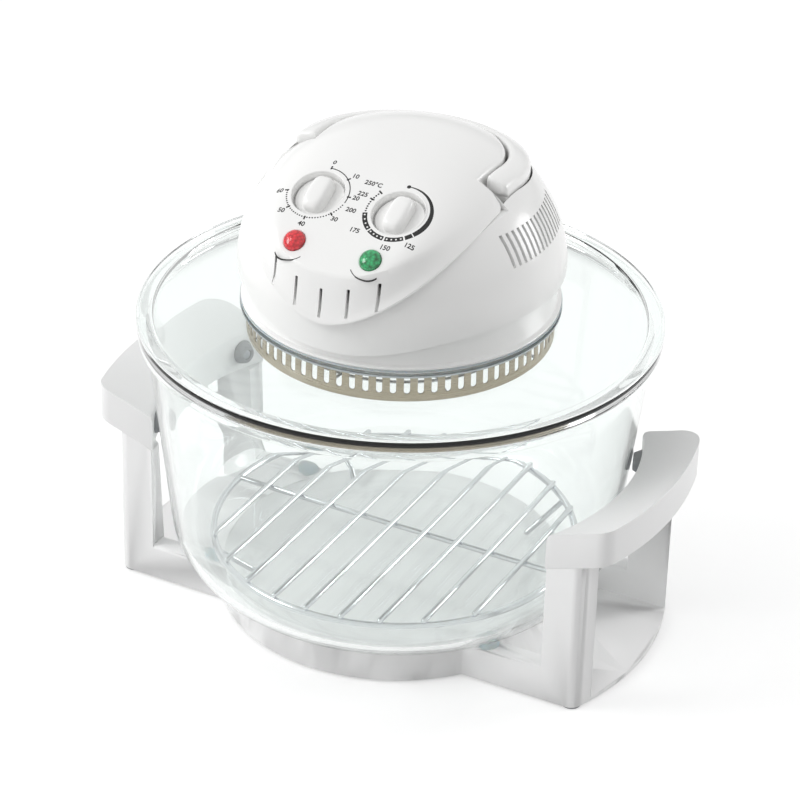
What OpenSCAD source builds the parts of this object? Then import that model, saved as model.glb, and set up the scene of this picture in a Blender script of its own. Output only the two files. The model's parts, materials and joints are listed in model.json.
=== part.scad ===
// Halogen oven: a round glass bowl in a two-handled stand, closed by a glass
// lid whose centre carries the white heating head. Front is -Y, up is +Z.
// The origin is on the table, under the middle of the bowl.

/* [Stand] */
// Height of the rubber feet that show under the base
foot_h = 1.5; // [1:0.5:4]
// Radius of the round base under the bowl
base_r = 110.5; // [106:0.5:116]
// Height of the base and its four arms above the table
base_h = 25; // [22:0.5:30]
// Thickness of the floor plates between the arms
floor_t = 3; // [2:0.5:5]
// Distance from the middle to the outer face of an arm
arm_y = 70.4; // [64:0.2:74]
// Width of an arm and of the post on its end
arm_w = 14; // [10:0.5:18]
// Distance from the middle to the inner face of a post
post_x = 138.5; // [134:0.5:142]
// Radius of the round outline that the posts stand on
post_r = 176; // [170:0.5:180]

/* [Side grips] */
// Radius of a grip's inner face
grip_in_r = 154.5; // [151:0.5:157]
// Distance from the middle to a grip's outermost point
grip_out_x = 188; // [182:0.5:196]
// Radius of a grip's outer face, seen from above
grip_out_r = 235; // [210:1:280]
// Height of the underside of a grip at its inner edge
grip_low_z = 96; // [90:0.5:102]
// Height of the top of a grip at its inner edge
grip_top_z = 120; // [114:0.5:126]
// Slope of a grip's top and bottom, in degrees
grip_slope = 20; // [5:1:28]

/* [Glass bowl] */
// Height of the bowl's underside above the table
bowl_z = 20; // [18:0.5:22]
// Wall of the bowl and of the glass lid
glass_t = 4.5; // [3:0.25:6]
// Radius of the flat under the bowl
bowl_foot_r = 95; // [85:0.5:100]
// Radius of the bowl where its wall leaves the bottom curve
bowl_low_r = 139.5; // [136:0.5:142]
// Radius of the bowl just under its rim
bowl_neck_r = 157; // [154:0.5:159]
// Height of the bottom curve
bowl_curve_h = 55; // [45:0.5:60]
// Height of the whole bowl
bowl_h = 175.4; // [165:0.2:185]
// Radius of the bowl's rim
rim_r = 162; // [160:0.5:166]

/* [Glass lid] */
// Height of the lid's thick rim
lid_rim_h = 6.6; // [5:0.2:9]
// Width of the lid's thick rim
lid_rim_w = 11; // [8:0.5:14]
// Rise of the lid from its rim to the hole for the head
lid_rise = 12.6; // [9:0.2:18]
// Radius of the hole in the lid
lid_hole_r = 96; // [95.6:0.1:99]

/* [Heating head] */
// Radius of the slotted guard ring
guard_r = 94.7; // [90:0.1:95.2]
// Height of the slotted guard ring
guard_h = 24; // [20:0.5:28]
// Sheet metal thickness of the guard ring
guard_t = 0.8; // [0.6:0.1:1.2]
// Number of slots round the guard ring
guard_slots = 72; // [36:2:80]
// Width of a slot in the guard ring
guard_slot_w = 3.6; // [2.5:0.1:4.5]
// Length of a slot in the guard ring
guard_slot_h = 13; // [9:0.5:15]
// Radius of the domed housing
dome_r = 100.7; // [99.5:0.1:104]
// Height of the dome above its widest level
dome_h = 79; // [76:0.5:84]
// Height of the straight side of the housing under the dome
skirt_h = 20.4; // [18:0.2:22]
// Wall of the housing and of its front cover
shell_t = 2.8; // [2:0.1:3.2]
// Number of vent slots in each side of the housing
vent_count = 15; // [9:1:17]
// Distance between vent slots
vent_pitch = 4.9; // [4.2:0.1:5]
// Width of a vent slot
vent_w = 2.2; // [1.5:0.1:2.8]

/* [Front cover] */
// Half the width of the front cover at its ears
visor_w = 73; // [71:0.5:74]
// Distance from the ears forward to the front of the cover
visor_reach = 92; // [89:0.5:94]
// Half the width of the crown between the handle's arms
crown_w = 56; // [52:0.5:58]
// Slope of the control panel, in degrees from level
panel_tilt = 26.2; // [22:0.2:30]
// Distance between the dial centres
dial_pitch = 53.4; // [48:0.2:56]
// Distance down the panel from a dial to its lamp lens
lens_drop = 36; // [33:0.2:38]
// Radius of a knob's disc
knob_r = 15; // [12:0.1:16]
// Radius of a lamp lens
lens_r = 6.6; // [4:0.1:7.5]
// Number of slots in the front apron
front_slots = 5; // [3:2:7]

/* [Carrying handle] */
// Width of the handle's bar, seen from above
handle_w = 14; // [10:0.5:16]
// Depth of the handle's bar
handle_t = 11; // [8:0.5:12]
// Height of the handle above the dome it lies on
handle_proud = 1.5; // [0.5:0.25:3]

/* [Heater and fan] */
// Radius of the ring-shaped lamp
lamp_ring_r = 70; // [62:0.5:76]
// Radius of the lamp's tube
lamp_tube_r = 4.5; // [3:0.25:5.5]
// Radius of the hot-air fan
hot_fan_r = 48; // [40:0.5:54]
// Radius of the cooling fan over the heat shield
cool_fan_r = 56; // [48:0.5:60]
// Radius of the fan shaft
shaft_r = 3; // [2.5:0.1:4]

/* [Rack] */
// Radius of the wire rack's ring
rack_r = 116; // [108:0.5:118]
// Height of the rack over the bowl's floor
rack_h = 22; // [20:0.5:30]
// Radius of the rack's wires
wire_r = 1.8; // [1.5:0.1:2.5]

/* [Hidden] */

fit = 0.3;                    // gap between pieces on different bodies
seat = 0.1;                   // gap between pieces of one body
run = 0.05;                   // radial clearance of a turning shaft
round_fn = 96;                // facets of the large round pieces in the preview
small_fn = 32;                // facets of the small round pieces in the preview
eps = 0.01;

// glass and lid levels
rim_z = bowl_z + bowl_h;                       // top of the bowl's rim
lid_z = rim_z + fit;                           // underside of the lid's rim
lid_top_z = lid_z + lid_rim_h;                 // top of the lid's rim
hole_z = lid_top_z + lid_rise - lid_rim_h / 3; // top of the glass at the hole
bowl_wall_z = bowl_z + bowl_curve_h;
bowl_neck_z = rim_z - 7.5;

// head levels, stacked up from the glass at the hole
seal_t = 1;
seal_z = hole_z + seat;
collar_z = seal_z + seal_t + seat;
collar_h = 27;
collar_r = lid_hole_r;
collar_t = 3;
seat_r = dome_r - shell_t - 0.3;               // bead of the collar that the housing sits on
guard_top_z = collar_z - seat;
guard_z = guard_top_z - guard_h;
deck_z = collar_z + 8;
deck_t = 2.5;
dome_z = collar_z + 27.1;                      // widest level of the dome
skirt_z = dome_z - skirt_h;
dome_top = dome_z + dome_h;
dome_a = 1.76;                                 // roundness of the dome's crown
dome_b = 2.76;                                 // roundness of the dome's shoulder

// front cover
visor_n = 2.15;                                // squareness of the cover's outline
ear_y = -14;                                   // rear edge of the ears
crown_y = 10;                                  // centre of the crown's round end
crown_low = dome_z + 45;                       // underside of the crown's side wall
part_low = dome_z + 1;                         // parting line at the front
part_rise = 53;                                // rise of the parting line to the ears
panel_y = -59;
panel_z = dome_z + 59.6;                       // level of the dial centres
panel_up = [0, cos(panel_tilt), sin(panel_tilt)];
cup_depth = 7;
cup_gap = 1.2;
front_squash = dome_r / (visor_reach - ear_y + 2.5);
shoulder = 8;                                  // roundness of the edge between panel and apron
lip_slope = 0.85;                              // slope of the lip round the cover
lip_wall = 8;                                  // steepness of the wall over the lip

// carrying handle
pivot_y = 2;
pivot_z = dome_z + 56;
handle_in = crown_w + 1.5;
handle_out = handle_in + handle_w;
boss_r = 7;
pivot_r = 3;
nub_r = 8.6;                                   // reach of the nub that presses the safety switch
nub_a = 5;
plunger_r = 1.5;
switch_x = handle_in + 5.5;
groove_gap = 1.2;

// fan and motor
hot_fan_z = guard_z + 6;
reflector_z = guard_top_z - 3.6;
cool_fan_z = deck_z + deck_t + 3;
motor_z = cool_fan_z + 16;
motor_h = 26;

gland_z = dome_z + 13;                         // level of the cord inlet

function arc(cx, cy, r, a0, a1, n) =
    [for (i = [0:n]) let (a = a0 + (a1 - a0) * i / n) [cx + r * cos(a), cy + r * sin(a)]];

// ---------------------------------------------------------------- stand

// plan outline of a post: flat inner faces, round outer face and corner
module post_plan() {
    corner = 8;
    corner_x = sqrt(pow(post_r - corner, 2) - pow(arm_y - corner, 2));
    far_x = sqrt(post_r * post_r - pow(arm_y - arm_w, 2));
    far_a = asin((arm_y - arm_w) / post_r);
    near_a = atan2(arm_y - corner, corner_x);
    polygon(concat(
        [[post_x, arm_y - arm_w]],
        arc(0, 0, post_r, far_a, near_a, 4),
        arc(corner_x, arm_y - corner, corner, near_a, 90, 6),
        [[post_x, arm_y]]));
}

// profile of an arm across its length, with rounded top edges
module arm_profile() {
    edge = 2.5;
    polygon(concat(
        [[arm_y - arm_w, foot_h], [arm_y, foot_h]],
        arc(arm_y - edge, base_h - edge, edge, 0, 90, 4),
        arc(arm_y - arm_w + edge, base_h - edge, edge, 90, 180, 4)));
}

module arm_and_post() {
    arm_x = 60;
    translate([arm_x, 0, 0]) rotate([90, 0, 90])
        linear_extrude(post_x + 4 - arm_x) arm_profile();
    difference() {
        translate([0, 0, foot_h]) linear_extrude(grip_top_z) post_plan();
        grip_space();
    }
}

// everything above the sloped underside of a grip
module grip_space() {
    rise = tan(grip_slope);
    rotate_extrude($fn = round_fn) polygon([
        [100, grip_low_z - seat - (grip_in_r - 100) * rise],
        [220, grip_low_z - seat + (220 - grip_in_r) * rise],
        [220, 200], [100, 200]]);
}

// plan outline of the base between the arms, out to the round floor plates
module floor_plan() {
    intersection() {
        circle(r = post_r, $fn = round_fn);
        square([2 * post_r, 2 * (arm_y - arm_w) + 2], center = true);
    }
}

module stand_base() color("white") {
    cove = 17;
    difference() {
        union() {
            translate([0, 0, foot_h]) cylinder(h = base_h - foot_h, r = base_r, $fn = round_fn);
            for (sx = [0, 1], sy = [0, 1])
                mirror([sx, 0, 0]) mirror([0, sy, 0]) arm_and_post();
            translate([0, 0, foot_h]) linear_extrude(floor_t) floor_plan();
            // the base flares out to meet the floor plates
            intersection() {
                rotate_extrude($fn = round_fn) polygon([[0, foot_h], [base_r + cove, foot_h],
                    [base_r + cove, foot_h + floor_t], [base_r, base_h - 3], [0, base_h - 3]]);
                translate([-post_r, -(arm_y - arm_w) - 1, 0])
                    cube([2 * post_r, 2 * (arm_y - arm_w) + 2, base_h]);
            }
        }
        // seat turned to the underside of the bowl
        bowl_outside(fit);
        // hollow under the base, which the feet stand round
        translate([0, 0, foot_h - eps])
            cylinder(h = bowl_z - foot_h - floor_t, r = bowl_foot_r - 8, $fn = round_fn);
        foot_places() translate([0, 0, foot_h - eps]) cylinder(h = 2 + seat, r = foot_r + seat, $fn = small_fn);
        pad_places() translate([0, 0, base_h - 1]) cylinder(h = 5, r = 7 + seat, $fn = small_fn);
        for (side = [-1, 1]) grip_screw_places(side) {
            cylinder(h = 40, r = 2.1, $fn = small_fn);
            translate([0, 0, -100]) cylinder(h = 100 + 2.6, r = 3.6, $fn = small_fn);
        }
    }
}

foot_r = 6;
module foot_places() {
    for (sx = [-1, 1], sy = [-1, 1])
        translate([sx * (post_x + 18.5), sy * (arm_y - arm_w / 2), 0]) children();
}

module feet() color("dimgray") foot_places()
    cylinder(h = foot_h + 2 - seat, r = foot_r, $fn = small_fn);

module grip_plan() {
    corner = 10;
    c_x = grip_out_x - grip_out_r;
    corner_x = c_x + sqrt(pow(grip_out_r - corner, 2) - pow(arm_y - corner, 2));
    a = atan2(arm_y - corner, corner_x - c_x);
    polygon(concat(
        [[60, -arm_y]],
        arc(corner_x, -arm_y + corner, corner, -90, -a, 5),
        arc(c_x, 0, grip_out_r, -a, a, 16),
        arc(corner_x, arm_y - corner, corner, a, 90, 5),
        [[60, arm_y]]));
}

// one grip: a curved bar with a sloped top, cut to its outline
module grip() {
    rise = tan(grip_slope);
    reach = 50;
    edge = 3;
    intersection() {
        rotate_extrude($fn = round_fn) polygon([
            [grip_in_r, grip_low_z],
            [grip_in_r + reach, grip_low_z + reach * rise],
            [grip_in_r + reach, grip_top_z + reach * rise],
            [grip_in_r + edge, grip_top_z + edge * rise],
            [grip_in_r + edge * 0.3, grip_top_z - edge * 0.2],
            [grip_in_r, grip_top_z - edge]]);
        translate([0, 0, grip_low_z - 5]) linear_extrude(60) grip_plan();
    }
}

module right_grip() color("white") difference() {
    grip();
    grip_screw_places(1) cylinder(h = 29, r = 2.1, $fn = small_fn);
    bumper_places(1) translate([0, 0, -1]) cylinder(h = 9, r = 1.6, $fn = small_fn);
}

module left_grip() color("white") difference() {
    mirror([1, 0, 0]) grip();
    grip_screw_places(-1) cylinder(h = 29, r = 2.1, $fn = small_fn);
    bumper_places(-1) translate([0, 0, -1]) cylinder(h = 9, r = 1.6, $fn = small_fn);
}

// a screw up through each post into the grip, reached from under the foot
screw_head_z = grip_low_z - 22;
module grip_screw_places(side) {
    for (sy = [-1, 1])
        translate([side * (post_x + 6.5), sy * (arm_y - arm_w / 2), screw_head_z]) children();
}

module grip_screws() color("silver") for (side = [-1, 1]) grip_screw_places(side) {
    cylinder(h = 2.5, r = 3.4, $fn = small_fn);
    translate([0, 0, 2.5 - eps]) cylinder(h = 24, r = 2, $fn = small_fn);
}

// rubber bumpers stand on the grips' inner faces, pointing at the bowl
bumper_a = 20.6;
bumper_z = grip_low_z + 12;
bumper_tip_r = 5.5;
bumper_len = grip_in_r - bowl_radius(bumper_z + bumper_tip_r) - fit;

module bumper_places(side) {
    for (sy = [-1, 1])
        rotate([0, 0, side > 0 ? sy * bumper_a : 180 + sy * bumper_a])
            translate([grip_in_r, 0, bumper_z]) rotate([0, 90, 0]) children();
}

module bumpers() color("gray") for (side = [-1, 1]) bumper_places(side)
    difference() {
        translate([0, 0, -bumper_len]) cylinder(h = bumper_len - 0.6, r1 = bumper_tip_r, r2 = 8, $fn = small_fn);
        translate([0, 0, -bumper_len - 1]) cylinder(h = bumper_len + 2, r = 1.6, $fn = small_fn);
        translate([0, 0, -bumper_len - 1]) cylinder(h = 4, r = 3.2, $fn = small_fn);
    }

module bumper_screws() color("silver") for (side = [-1, 1]) bumper_places(side) {
    translate([0, 0, -bumper_len + 2.8]) cylinder(h = bumper_len + 4, r = 1.5, $fn = small_fn);
    translate([0, 0, -bumper_len + 1.1]) cylinder(h = 1.8, r = 2.9, $fn = small_fn);
}

// short silicone pads on the arms carry the bowl's round bottom edge
module pad_places() {
    for (sx = [-1, 1], sy = [-1, 1])
        translate([sx * 99, sy * (arm_y - arm_w / 2 - 0.5), 0]) children();
}

module bowl_pads() color("whitesmoke") difference() {
    pad_places() translate([0, 0, base_h - 1 + seat]) cylinder(h = 9, r = 7, $fn = small_fn);
    bowl_outside(fit);
}

// ---------------------------------------------------------------- glass

// half section of the bowl's outside; grow moves it outwards
function bowl_side(grow) = concat(
    [for (i = [0:10]) let (a = 90 * i / 10)
        [bowl_foot_r + (bowl_low_r - bowl_foot_r + grow) * sin(a),
         bowl_wall_z - (bowl_curve_h + grow) * cos(a)]],
    [for (i = [1:6]) let (k = i / 6)
        [bowl_low_r + grow + (bowl_neck_r - bowl_low_r) * pow(k, 1.75),
         bowl_wall_z + (bowl_neck_z - bowl_wall_z) * k]]);

function bowl_radius(z) = bowl_low_r
    + (bowl_neck_r - bowl_low_r) * pow((z - bowl_wall_z) / (bowl_neck_z - bowl_wall_z), 1.75);

module bowl_outside(grow) rotate_extrude($fn = round_fn)
    polygon(concat([[0, bowl_z - grow]], bowl_side(grow), [[0, bowl_neck_z]]));

module bowl() color("lightblue", 0.35) rotate_extrude($fn = round_fn) {
    outer = bowl_side(0);
    inner = bowl_side(-glass_t);
    bead = 3;
    polygon(concat(
        [[0, bowl_z]], outer,
        [[rim_r - 1.5, bowl_neck_z + 1]],
        arc(rim_r - bead, bowl_neck_z + 1 + bead, bead, -50, 0, 3),
        arc(rim_r - bead, rim_z - bead, bead, 0, 90, 4),
        arc(bowl_neck_r - glass_t + 2.5, rim_z - 2.5, 2.5, 90, 180, 3),
        [for (i = [len(inner) - 1:-1:0]) inner[i]],
        [[0, bowl_z + glass_t]]));
}

module glass_lid() color("lightblue", 0.35) rotate_extrude($fn = round_fn) {
    steps = 8;
    bead = 2.6;
    in_r = rim_r + 1 - lid_rim_w;
    top = [for (i = [0:steps]) let (k = i / steps)
        [in_r + (lid_hole_r - in_r) * k,
         lid_top_z - lid_rim_h / 3 + lid_rise * (1 - pow(1 - k, 1.8))]];
    polygon(concat(
        arc(rim_r + 1 - bead, lid_z + bead, bead, -90, 0, 4),
        arc(rim_r + 1 - bead, lid_top_z - bead, bead, 0, 90, 4),
        arc(in_r + bead, lid_top_z - bead, bead, 90, 150, 3),
        top,
        [for (i = [steps:-1:0]) [top[i][0] + (i == 0 ? 1 : 0), top[i][1] - glass_t]]));
}

// ---------------------------------------------------------------- rack

// a ring with straight wires welded on top and four slanted legs
module low_rack() color("silver") {
    floor_z = bowl_z + glass_t + fit;
    deck = floor_z + rack_h;
    weld = 0.4;
    pitch = 23;
    count = 4;
    ring_r = wire_r + 0.4;
    translate([0, 0, deck]) rotate_extrude($fn = round_fn)
        translate([rack_r, 0]) circle(r = ring_r, $fn = 16);
    for (i = [-count:count]) let (x = i * pitch, half = sqrt(rack_r * rack_r - x * x))
        translate([x, half, deck + ring_r + wire_r - weld]) rotate([90, 0, 0])
            cylinder(h = 2 * half, r = wire_r, $fn = 16);
    translate([-rack_r, 0, deck + ring_r - weld - wire_r + weld]) rotate([0, 90, 0])
        cylinder(h = 2 * rack_r, r = wire_r, $fn = 16);
    // the legs lean inwards to the flat of the bowl
    foot = bowl_foot_r - 4;
    lean = atan2(rack_r - foot, rack_h);
    for (a = [45:90:315]) rotate([0, 0, a]) translate([foot, 0, floor_z + wire_r]) {
        sphere(r = wire_r + 0.3, $fn = 24);
        rotate([0, lean, 0]) cylinder(h = norm([rack_r - foot, rack_h - wire_r]), r = wire_r, $fn = 16);
    }
}

// ---------------------------------------------------------------- head, hot side

module lid_seal() color("whitesmoke") translate([0, 0, seal_z]) difference() {
    cylinder(h = seal_t, r = lid_hole_r + 3, $fn = round_fn);
    translate([0, 0, -1]) cylinder(h = seal_t + 2, r = lid_hole_r - 1, $fn = round_fn);
}

module guard_ring() color("silver") {
    slot_z = guard_z + (guard_h - guard_slot_h) / 2 - 0.4;
    difference() {
        translate([0, 0, guard_z]) rotate_extrude($fn = round_fn) polygon([
            [guard_r - 3, 0], [guard_r - 0.6, 0], [guard_r, 0.6], [guard_r, guard_h],
            [guard_r - 8, guard_h], [guard_r - 8, guard_h - guard_t],
            [guard_r - guard_t, guard_h - guard_t], [guard_r - guard_t, guard_t],
            [guard_r - 3, guard_t]]);
        for (i = [0:guard_slots - 1]) rotate([0, 0, (i + 0.5) * 360 / guard_slots])
            translate([guard_r - 2, 0, slot_z]) rotate([90, 0, 90])
                linear_extrude(4) polygon(concat(
                    arc(0, guard_slot_w / 2, guard_slot_w / 2, 180, 360, 4),
                    arc(0, guard_slot_h - guard_slot_w / 2, guard_slot_w / 2, 0, 180, 4)));
    }
}

module fan_grille() color("silver") {
    wire = 1;
    deck = guard_z + guard_t + wire + seat;
    for (r = [20:18:guard_r - 3]) translate([0, 0, deck]) rotate_extrude($fn = round_fn)
        translate([r, 0]) circle(r = wire, $fn = 12);
    for (a = [0:45:315]) rotate([0, 0, a]) translate([10, 0, deck + wire]) rotate([0, 90, 0])
        cylinder(h = guard_r - guard_t - 1 - 10, r = wire, $fn = 12);
    translate([0, 0, deck - 0.6]) cylinder(h = 1.6, r = 12, $fn = small_fn);
}

module reflector() color("silver") difference() {
    translate([0, 0, reflector_z]) rotate_extrude($fn = round_fn) polygon([
        [0, 1], [0, 0], [hot_fan_r + 6, 0], [lamp_ring_r - 10, 2], [guard_r - guard_t - 0.6, 2],
        [guard_r - guard_t - 0.6, 2.8], [lamp_ring_r - 10.3, 2.8], [hot_fan_r + 5.7, 1]]);
    translate([0, 0, reflector_z - 1]) cylinder(h = 6, r = shaft_r + 3, $fn = small_fn);
    sensor_place() cylinder(h = 30, r = 2.4, $fn = small_fn);
    lamp_leg_places() translate([0, 0, -2]) cylinder(h = 20, r = 5, $fn = small_fn);
}

lamp_z = reflector_z - lamp_tube_r - 2;
lamp_gap_a = 24;

module lamp_tube() color("gold", 0.6) translate([0, 0, lamp_z])
    rotate([0, 0, 90 + lamp_gap_a / 2]) rotate_extrude(angle = 360 - lamp_gap_a, $fn = round_fn)
        translate([lamp_ring_r, 0]) circle(r = lamp_tube_r, $fn = 20);

module lamp_leg_places() {
    for (s = [-1, 1]) rotate([0, 0, 90 + s * (lamp_gap_a / 2 - 3.9)])
        translate([lamp_ring_r, 0, lamp_z]) children();
}

// ceramic ends of the lamp, which stand through the reflector
module lamp_holders() color("ivory") lamp_leg_places()
    translate([0, 0, -lamp_tube_r]) cylinder(h = guard_top_z - lamp_z + lamp_tube_r - 0.4, r = 4.2, $fn = small_fn);

module insulation_pad() color("beige") difference() {
    translate([0, 0, guard_top_z + 2 * seat]) cylinder(h = deck_z - guard_top_z - 3 * seat, r = guard_r - 7, $fn = round_fn);
    translate([0, 0, guard_top_z - 1]) cylinder(h = 20, r = shaft_r + 3, $fn = small_fn);
    sensor_place() cylinder(h = 40, r = 2.4, $fn = small_fn);
}

module sensor_place() {
    translate([44, -66, guard_z + 8]) children();
}

module sensor_bulb() color("silver") sensor_place()
    cylinder(h = deck_z + deck_t + 6 - guard_z - 8, r = 2.2, $fn = small_fn);

// thin ring that holds the lid's glass up against the collar
module lid_retainer() color("silver") translate([0, 0, hole_z - glass_t - 2 * seat - 1]) difference() {
    cylinder(h = 1, r = lid_hole_r + 3, $fn = round_fn);
    translate([0, 0, -1]) cylinder(h = 3, r = guard_r + seat, $fn = round_fn);
}

module collar() color("white") difference() {
    translate([0, 0, collar_z]) rotate_extrude($fn = round_fn) polygon([
        [collar_r - collar_t, 0], [collar_r + 2.5, 0], [collar_r + 2.5, 1.6], [collar_r, 2.4],
        [collar_r, collar_h - 6], [seat_r, collar_h - 4.5], [seat_r, collar_h], [collar_r - collar_t - 1, collar_h],
        [collar_r - collar_t, deck_z + deck_t - collar_z], [24, deck_z + deck_t - collar_z],
        [24, deck_z - collar_z], [collar_r - collar_t, deck_z - collar_z]]);
    sensor_place() cylinder(h = 40, r = 2.4, $fn = small_fn);
}

module collar_screws() color("silver") for (a = [45:90:315]) rotate([0, 0, a])
    translate([guard_r - 12, 0, deck_z + deck_t + seat]) cylinder(h = 2, r = 3.5, $fn = small_fn);

// ---------------------------------------------------------------- head, housing

function dome_level(r) = dome_z + dome_h * pow(max(0, 1 - pow(min(1, r / dome_r), dome_b)), 1 / dome_a);

// half section of the dome; shrink moves it inwards
function dome_side(shrink) =
    [for (i = [0:20]) let (k = pow(i / 20, 0.8))
        [(dome_r - shrink) * pow(1 - pow(k, dome_a), 1 / dome_b),
         dome_z + (dome_h - shrink) * k]];

module dome_solid(shrink, low_z) rotate_extrude($fn = round_fn)
    polygon(concat([[0, low_z], [dome_r - shrink - 0.8, low_z]], dome_side(shrink)));

// height of the line where the front cover parts from the housing
function part_level(y) = let (s = min(1, max(0, (ear_y - y) / visor_reach)))
    part_low + part_rise * pow(1 - pow(s, 1.7), 0.7);

// everything above the parting line, as seen from the side
module above_parting(gap) {
    steps = 14;
    rotate([90, 0, 90]) translate([0, 0, -120]) linear_extrude(240) polygon(concat(
        [for (i = [0:steps]) let (y = ear_y + 0.3 - visor_reach * i / steps)
            [y, part_level(y) - gap]],
        [[-130, part_low - gap], [-130, dome_top + 20], [ear_y + 0.3, dome_top + 20]]));
}

// everything under the sweeping lower edge of the skirt
module below_skirt() {
    rotate([90, 0, 90]) translate([0, 0, -120]) linear_extrude(240) polygon(concat(
        [[-130, 150]],
        [for (i = [-10:10]) let (y = i * 10.5)
            [y, skirt_z + 15.6 - 16.2 * pow(min(1, abs(y) / 100), 4)]],
        [[130, 150]]));
}

// plan of the crown, grown by a gap: straight sides and a round rear end
module crown_plan(grow) {
    w = crown_w + grow;
    polygon(concat([[w, ear_y]], arc(0, crown_y, w, 0, 180, 24), [[-w, ear_y]]));
}

// U-shaped plan of the handle between two widths
module handle_plan(inner, outer, front_y) {
    difference() {
        polygon(concat([[outer, front_y]], arc(0, crown_y, outer, 0, 180, 28), [[-outer, front_y]]));
        polygon(concat([[inner, front_y - 5]], arc(0, crown_y, inner, 0, 180, 24), [[-inner, front_y - 5]]));
    }
}

module pivot_axis(x0, x1, r) {
    translate([x0, pivot_y, pivot_z]) rotate([0, 90, 0]) cylinder(h = x1 - x0, r = r, $fn = 40);
}

// channel that the handle lies in
module groove(wall, drop) {
    in_x = crown_w + 0.4;
    out_x = handle_out + groove_gap + wall;
    difference() {
        translate([0, 0, pivot_z - 20]) linear_extrude(60)
            handle_plan(in_x, out_x, ear_y + 0.5 - wall);
        translate([0, 0, -handle_t - drop - wall]) dome_solid(0, dome_z - 40);
    }
    // deeper pocket that the arm's end swings through
    for (s = [-1, 1]) translate([s > 0 ? in_x : -out_x, ear_y + 0.5 - wall, pivot_z - 9 - wall])
        cube([out_x - in_x, pivot_y + 9 - ear_y + 2 * wall, 40]);
}

module housing() color("white") difference() {
    union() {
        difference() {
            dome_solid(0, skirt_z);
            dome_solid(shell_t, skirt_z - 1);
        }
        intersection() {
            groove(2, 0.5);
            dome_solid(0.5, skirt_z);
        }
    }
    above_parting(0.2);
    translate([0, 0, crown_low - 0.4]) linear_extrude(60) crown_plan(0.4);
    groove(0, 0.5);
    translate([switch_x, pivot_y, pivot_z - 15]) cylinder(h = 10, r = plunger_r + fit, $fn = small_fn);
    // slit for the rear edge of the cover's ears
    translate([-visor_w, ear_y - 0.2, crown_low - 0.4]) cube([2 * visor_w, 0.6, 40]);
    below_skirt();
    for (s = [0, 1]) mirror([s, 0, 0]) for (i = [0:vent_count - 1])
        translate([60, -30 + i * vent_pitch - vent_w / 2, dome_z + 28.5])
            cube([60, vent_w, 17]);
    translate([0, dome_r - 8, gland_z]) rotate([-90, 0, 0]) cylinder(h = 20, r = 6 + seat, $fn = small_fn);
}

// height of the front cover's skin over a point in plan: a dome that is
// fuller towards the front, cut off by the panel's plane
function soft_min(a, b, k) = let (h = max(0, k - abs(a - b)) / k) min(a, b) - h * h * k / 4;
function panel_level(y) = panel_z + (y - panel_y) * tan(panel_tilt);
function cover_level(x, y) = let (
        r = norm([x, y < 0 ? y * front_squash : y]),
        ahead = r > 0 && y < 0 ? pow(y * front_squash / r, 6) : 0,
        k = min(1, r / dome_r),
        dome = dome_z + dome_h * pow(1 - pow(k, dome_b + 3.5 * ahead), 1 / (dome_a + 0.6 * ahead)))
    soft_min(dome, panel_level(y), shoulder);

// half the width of the front cover at each distance from the front
function reach_at(y, inset) = min(0.9999, max(0, (ear_y - y) / (visor_reach - inset)));
function cover_half(y, inset) = y < ear_y
    ? (visor_w - inset) * pow(1 - pow(reach_at(y, inset), visor_n), 1 / visor_n)
    : y < crown_y ? crown_w - inset
    : sqrt(max(0, pow(crown_w - inset, 2) - pow(y - crown_y, 2)));

// One cross section of the cover: a lip along each edge, a wall over it and
// the skin between, closed along the parting line.
function cover_section(y, inset, steps) = let (
        ears = y < ear_y,
        s = reach_at(y, inset),
        half = cover_half(y, inset),
        low = (ears ? part_level(y) : crown_low) - (inset > 0 ? 2 : 0),
        // how far the outline slants here, and the lip's width along x
        slant = norm([1, visor_w / visor_reach * pow(s, visor_n - 1) * pow(1 - pow(s, visor_n), 1 / visor_n - 1)]),
        lip = ears ? min(half * 0.7, (1.6 + 7.6 * pow(1 - s * s, 1.4)) * slant) : min(half * 0.3, 2),
        flat = half - lip,
        xs = concat([-half, -half + lip / 2],
            [for (i = [0:steps]) flat * sin(-90 + 180 * i / steps)],
            [half - lip / 2, half]))
    concat(
        [for (x = xs) let (
                d = (half - abs(x)) / slant,
                w = lip / slant,
                edge = low + 0.8 + (ears ? lip_slope * min(d, w) + lip_wall * max(0, d - w) : 30 * d))
            [x, y, max(low + 0.4, soft_min(cover_level(x, y) - inset, edge, ears ? 3 : 2))
                + 0.3 * (1 - pow(x / half, 2)) * pow(s, 60)]],
        [[half, y, low], [-half, y, low]]);

module cover_body(inset) {
    steps = 22;
    front_n = 24;
    rear_n = 12;
    tip = 0.999;                               // the outline ends in a narrow flat
    front_y = ear_y - visor_reach + inset;
    rear_y = crown_y + crown_w - inset;
    stations = concat(
        [for (i = [0:front_n]) let (a = 90 * i / front_n)
            ear_y - (ear_y - front_y) * (i == 0 ? tip : cos(a)) - (i == front_n ? 0.1 : 0)],
        [for (i = [0:rear_n]) let (k = i / rear_n)
            ear_y + 0.1 + (rear_y - ear_y - 0.1) * (i == rear_n ? tip - 0.003 : sin(90 * k))]);
    sections = [for (y = stations) cover_section(y, inset, steps)];
    n = steps + 7;
    points = [for (s = sections) each s];
    last = len(stations) - 1;
    sides = [for (j = [0:last - 1], i = [0:n - 1]) let (
            a = j * n + i, b = j * n + (i + 1) % n, c = b + n, d = a + n)
        each [[a, c, b], [a, d, c]]];
    polyhedron(points = points, faces = concat(
        [[for (i = [0:n - 1]) i]], sides,
        [[for (i = [n - 1:-1:0]) last * n + i]]), convexity = 6);
}

// places children at a point of the control panel, z along its normal
module on_panel(x, down) {
    p = [0, panel_y, panel_z] - down * panel_up;
    translate([x, p[1], p[2]]) rotate([panel_tilt, 0, 0]) children();
}

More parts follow.
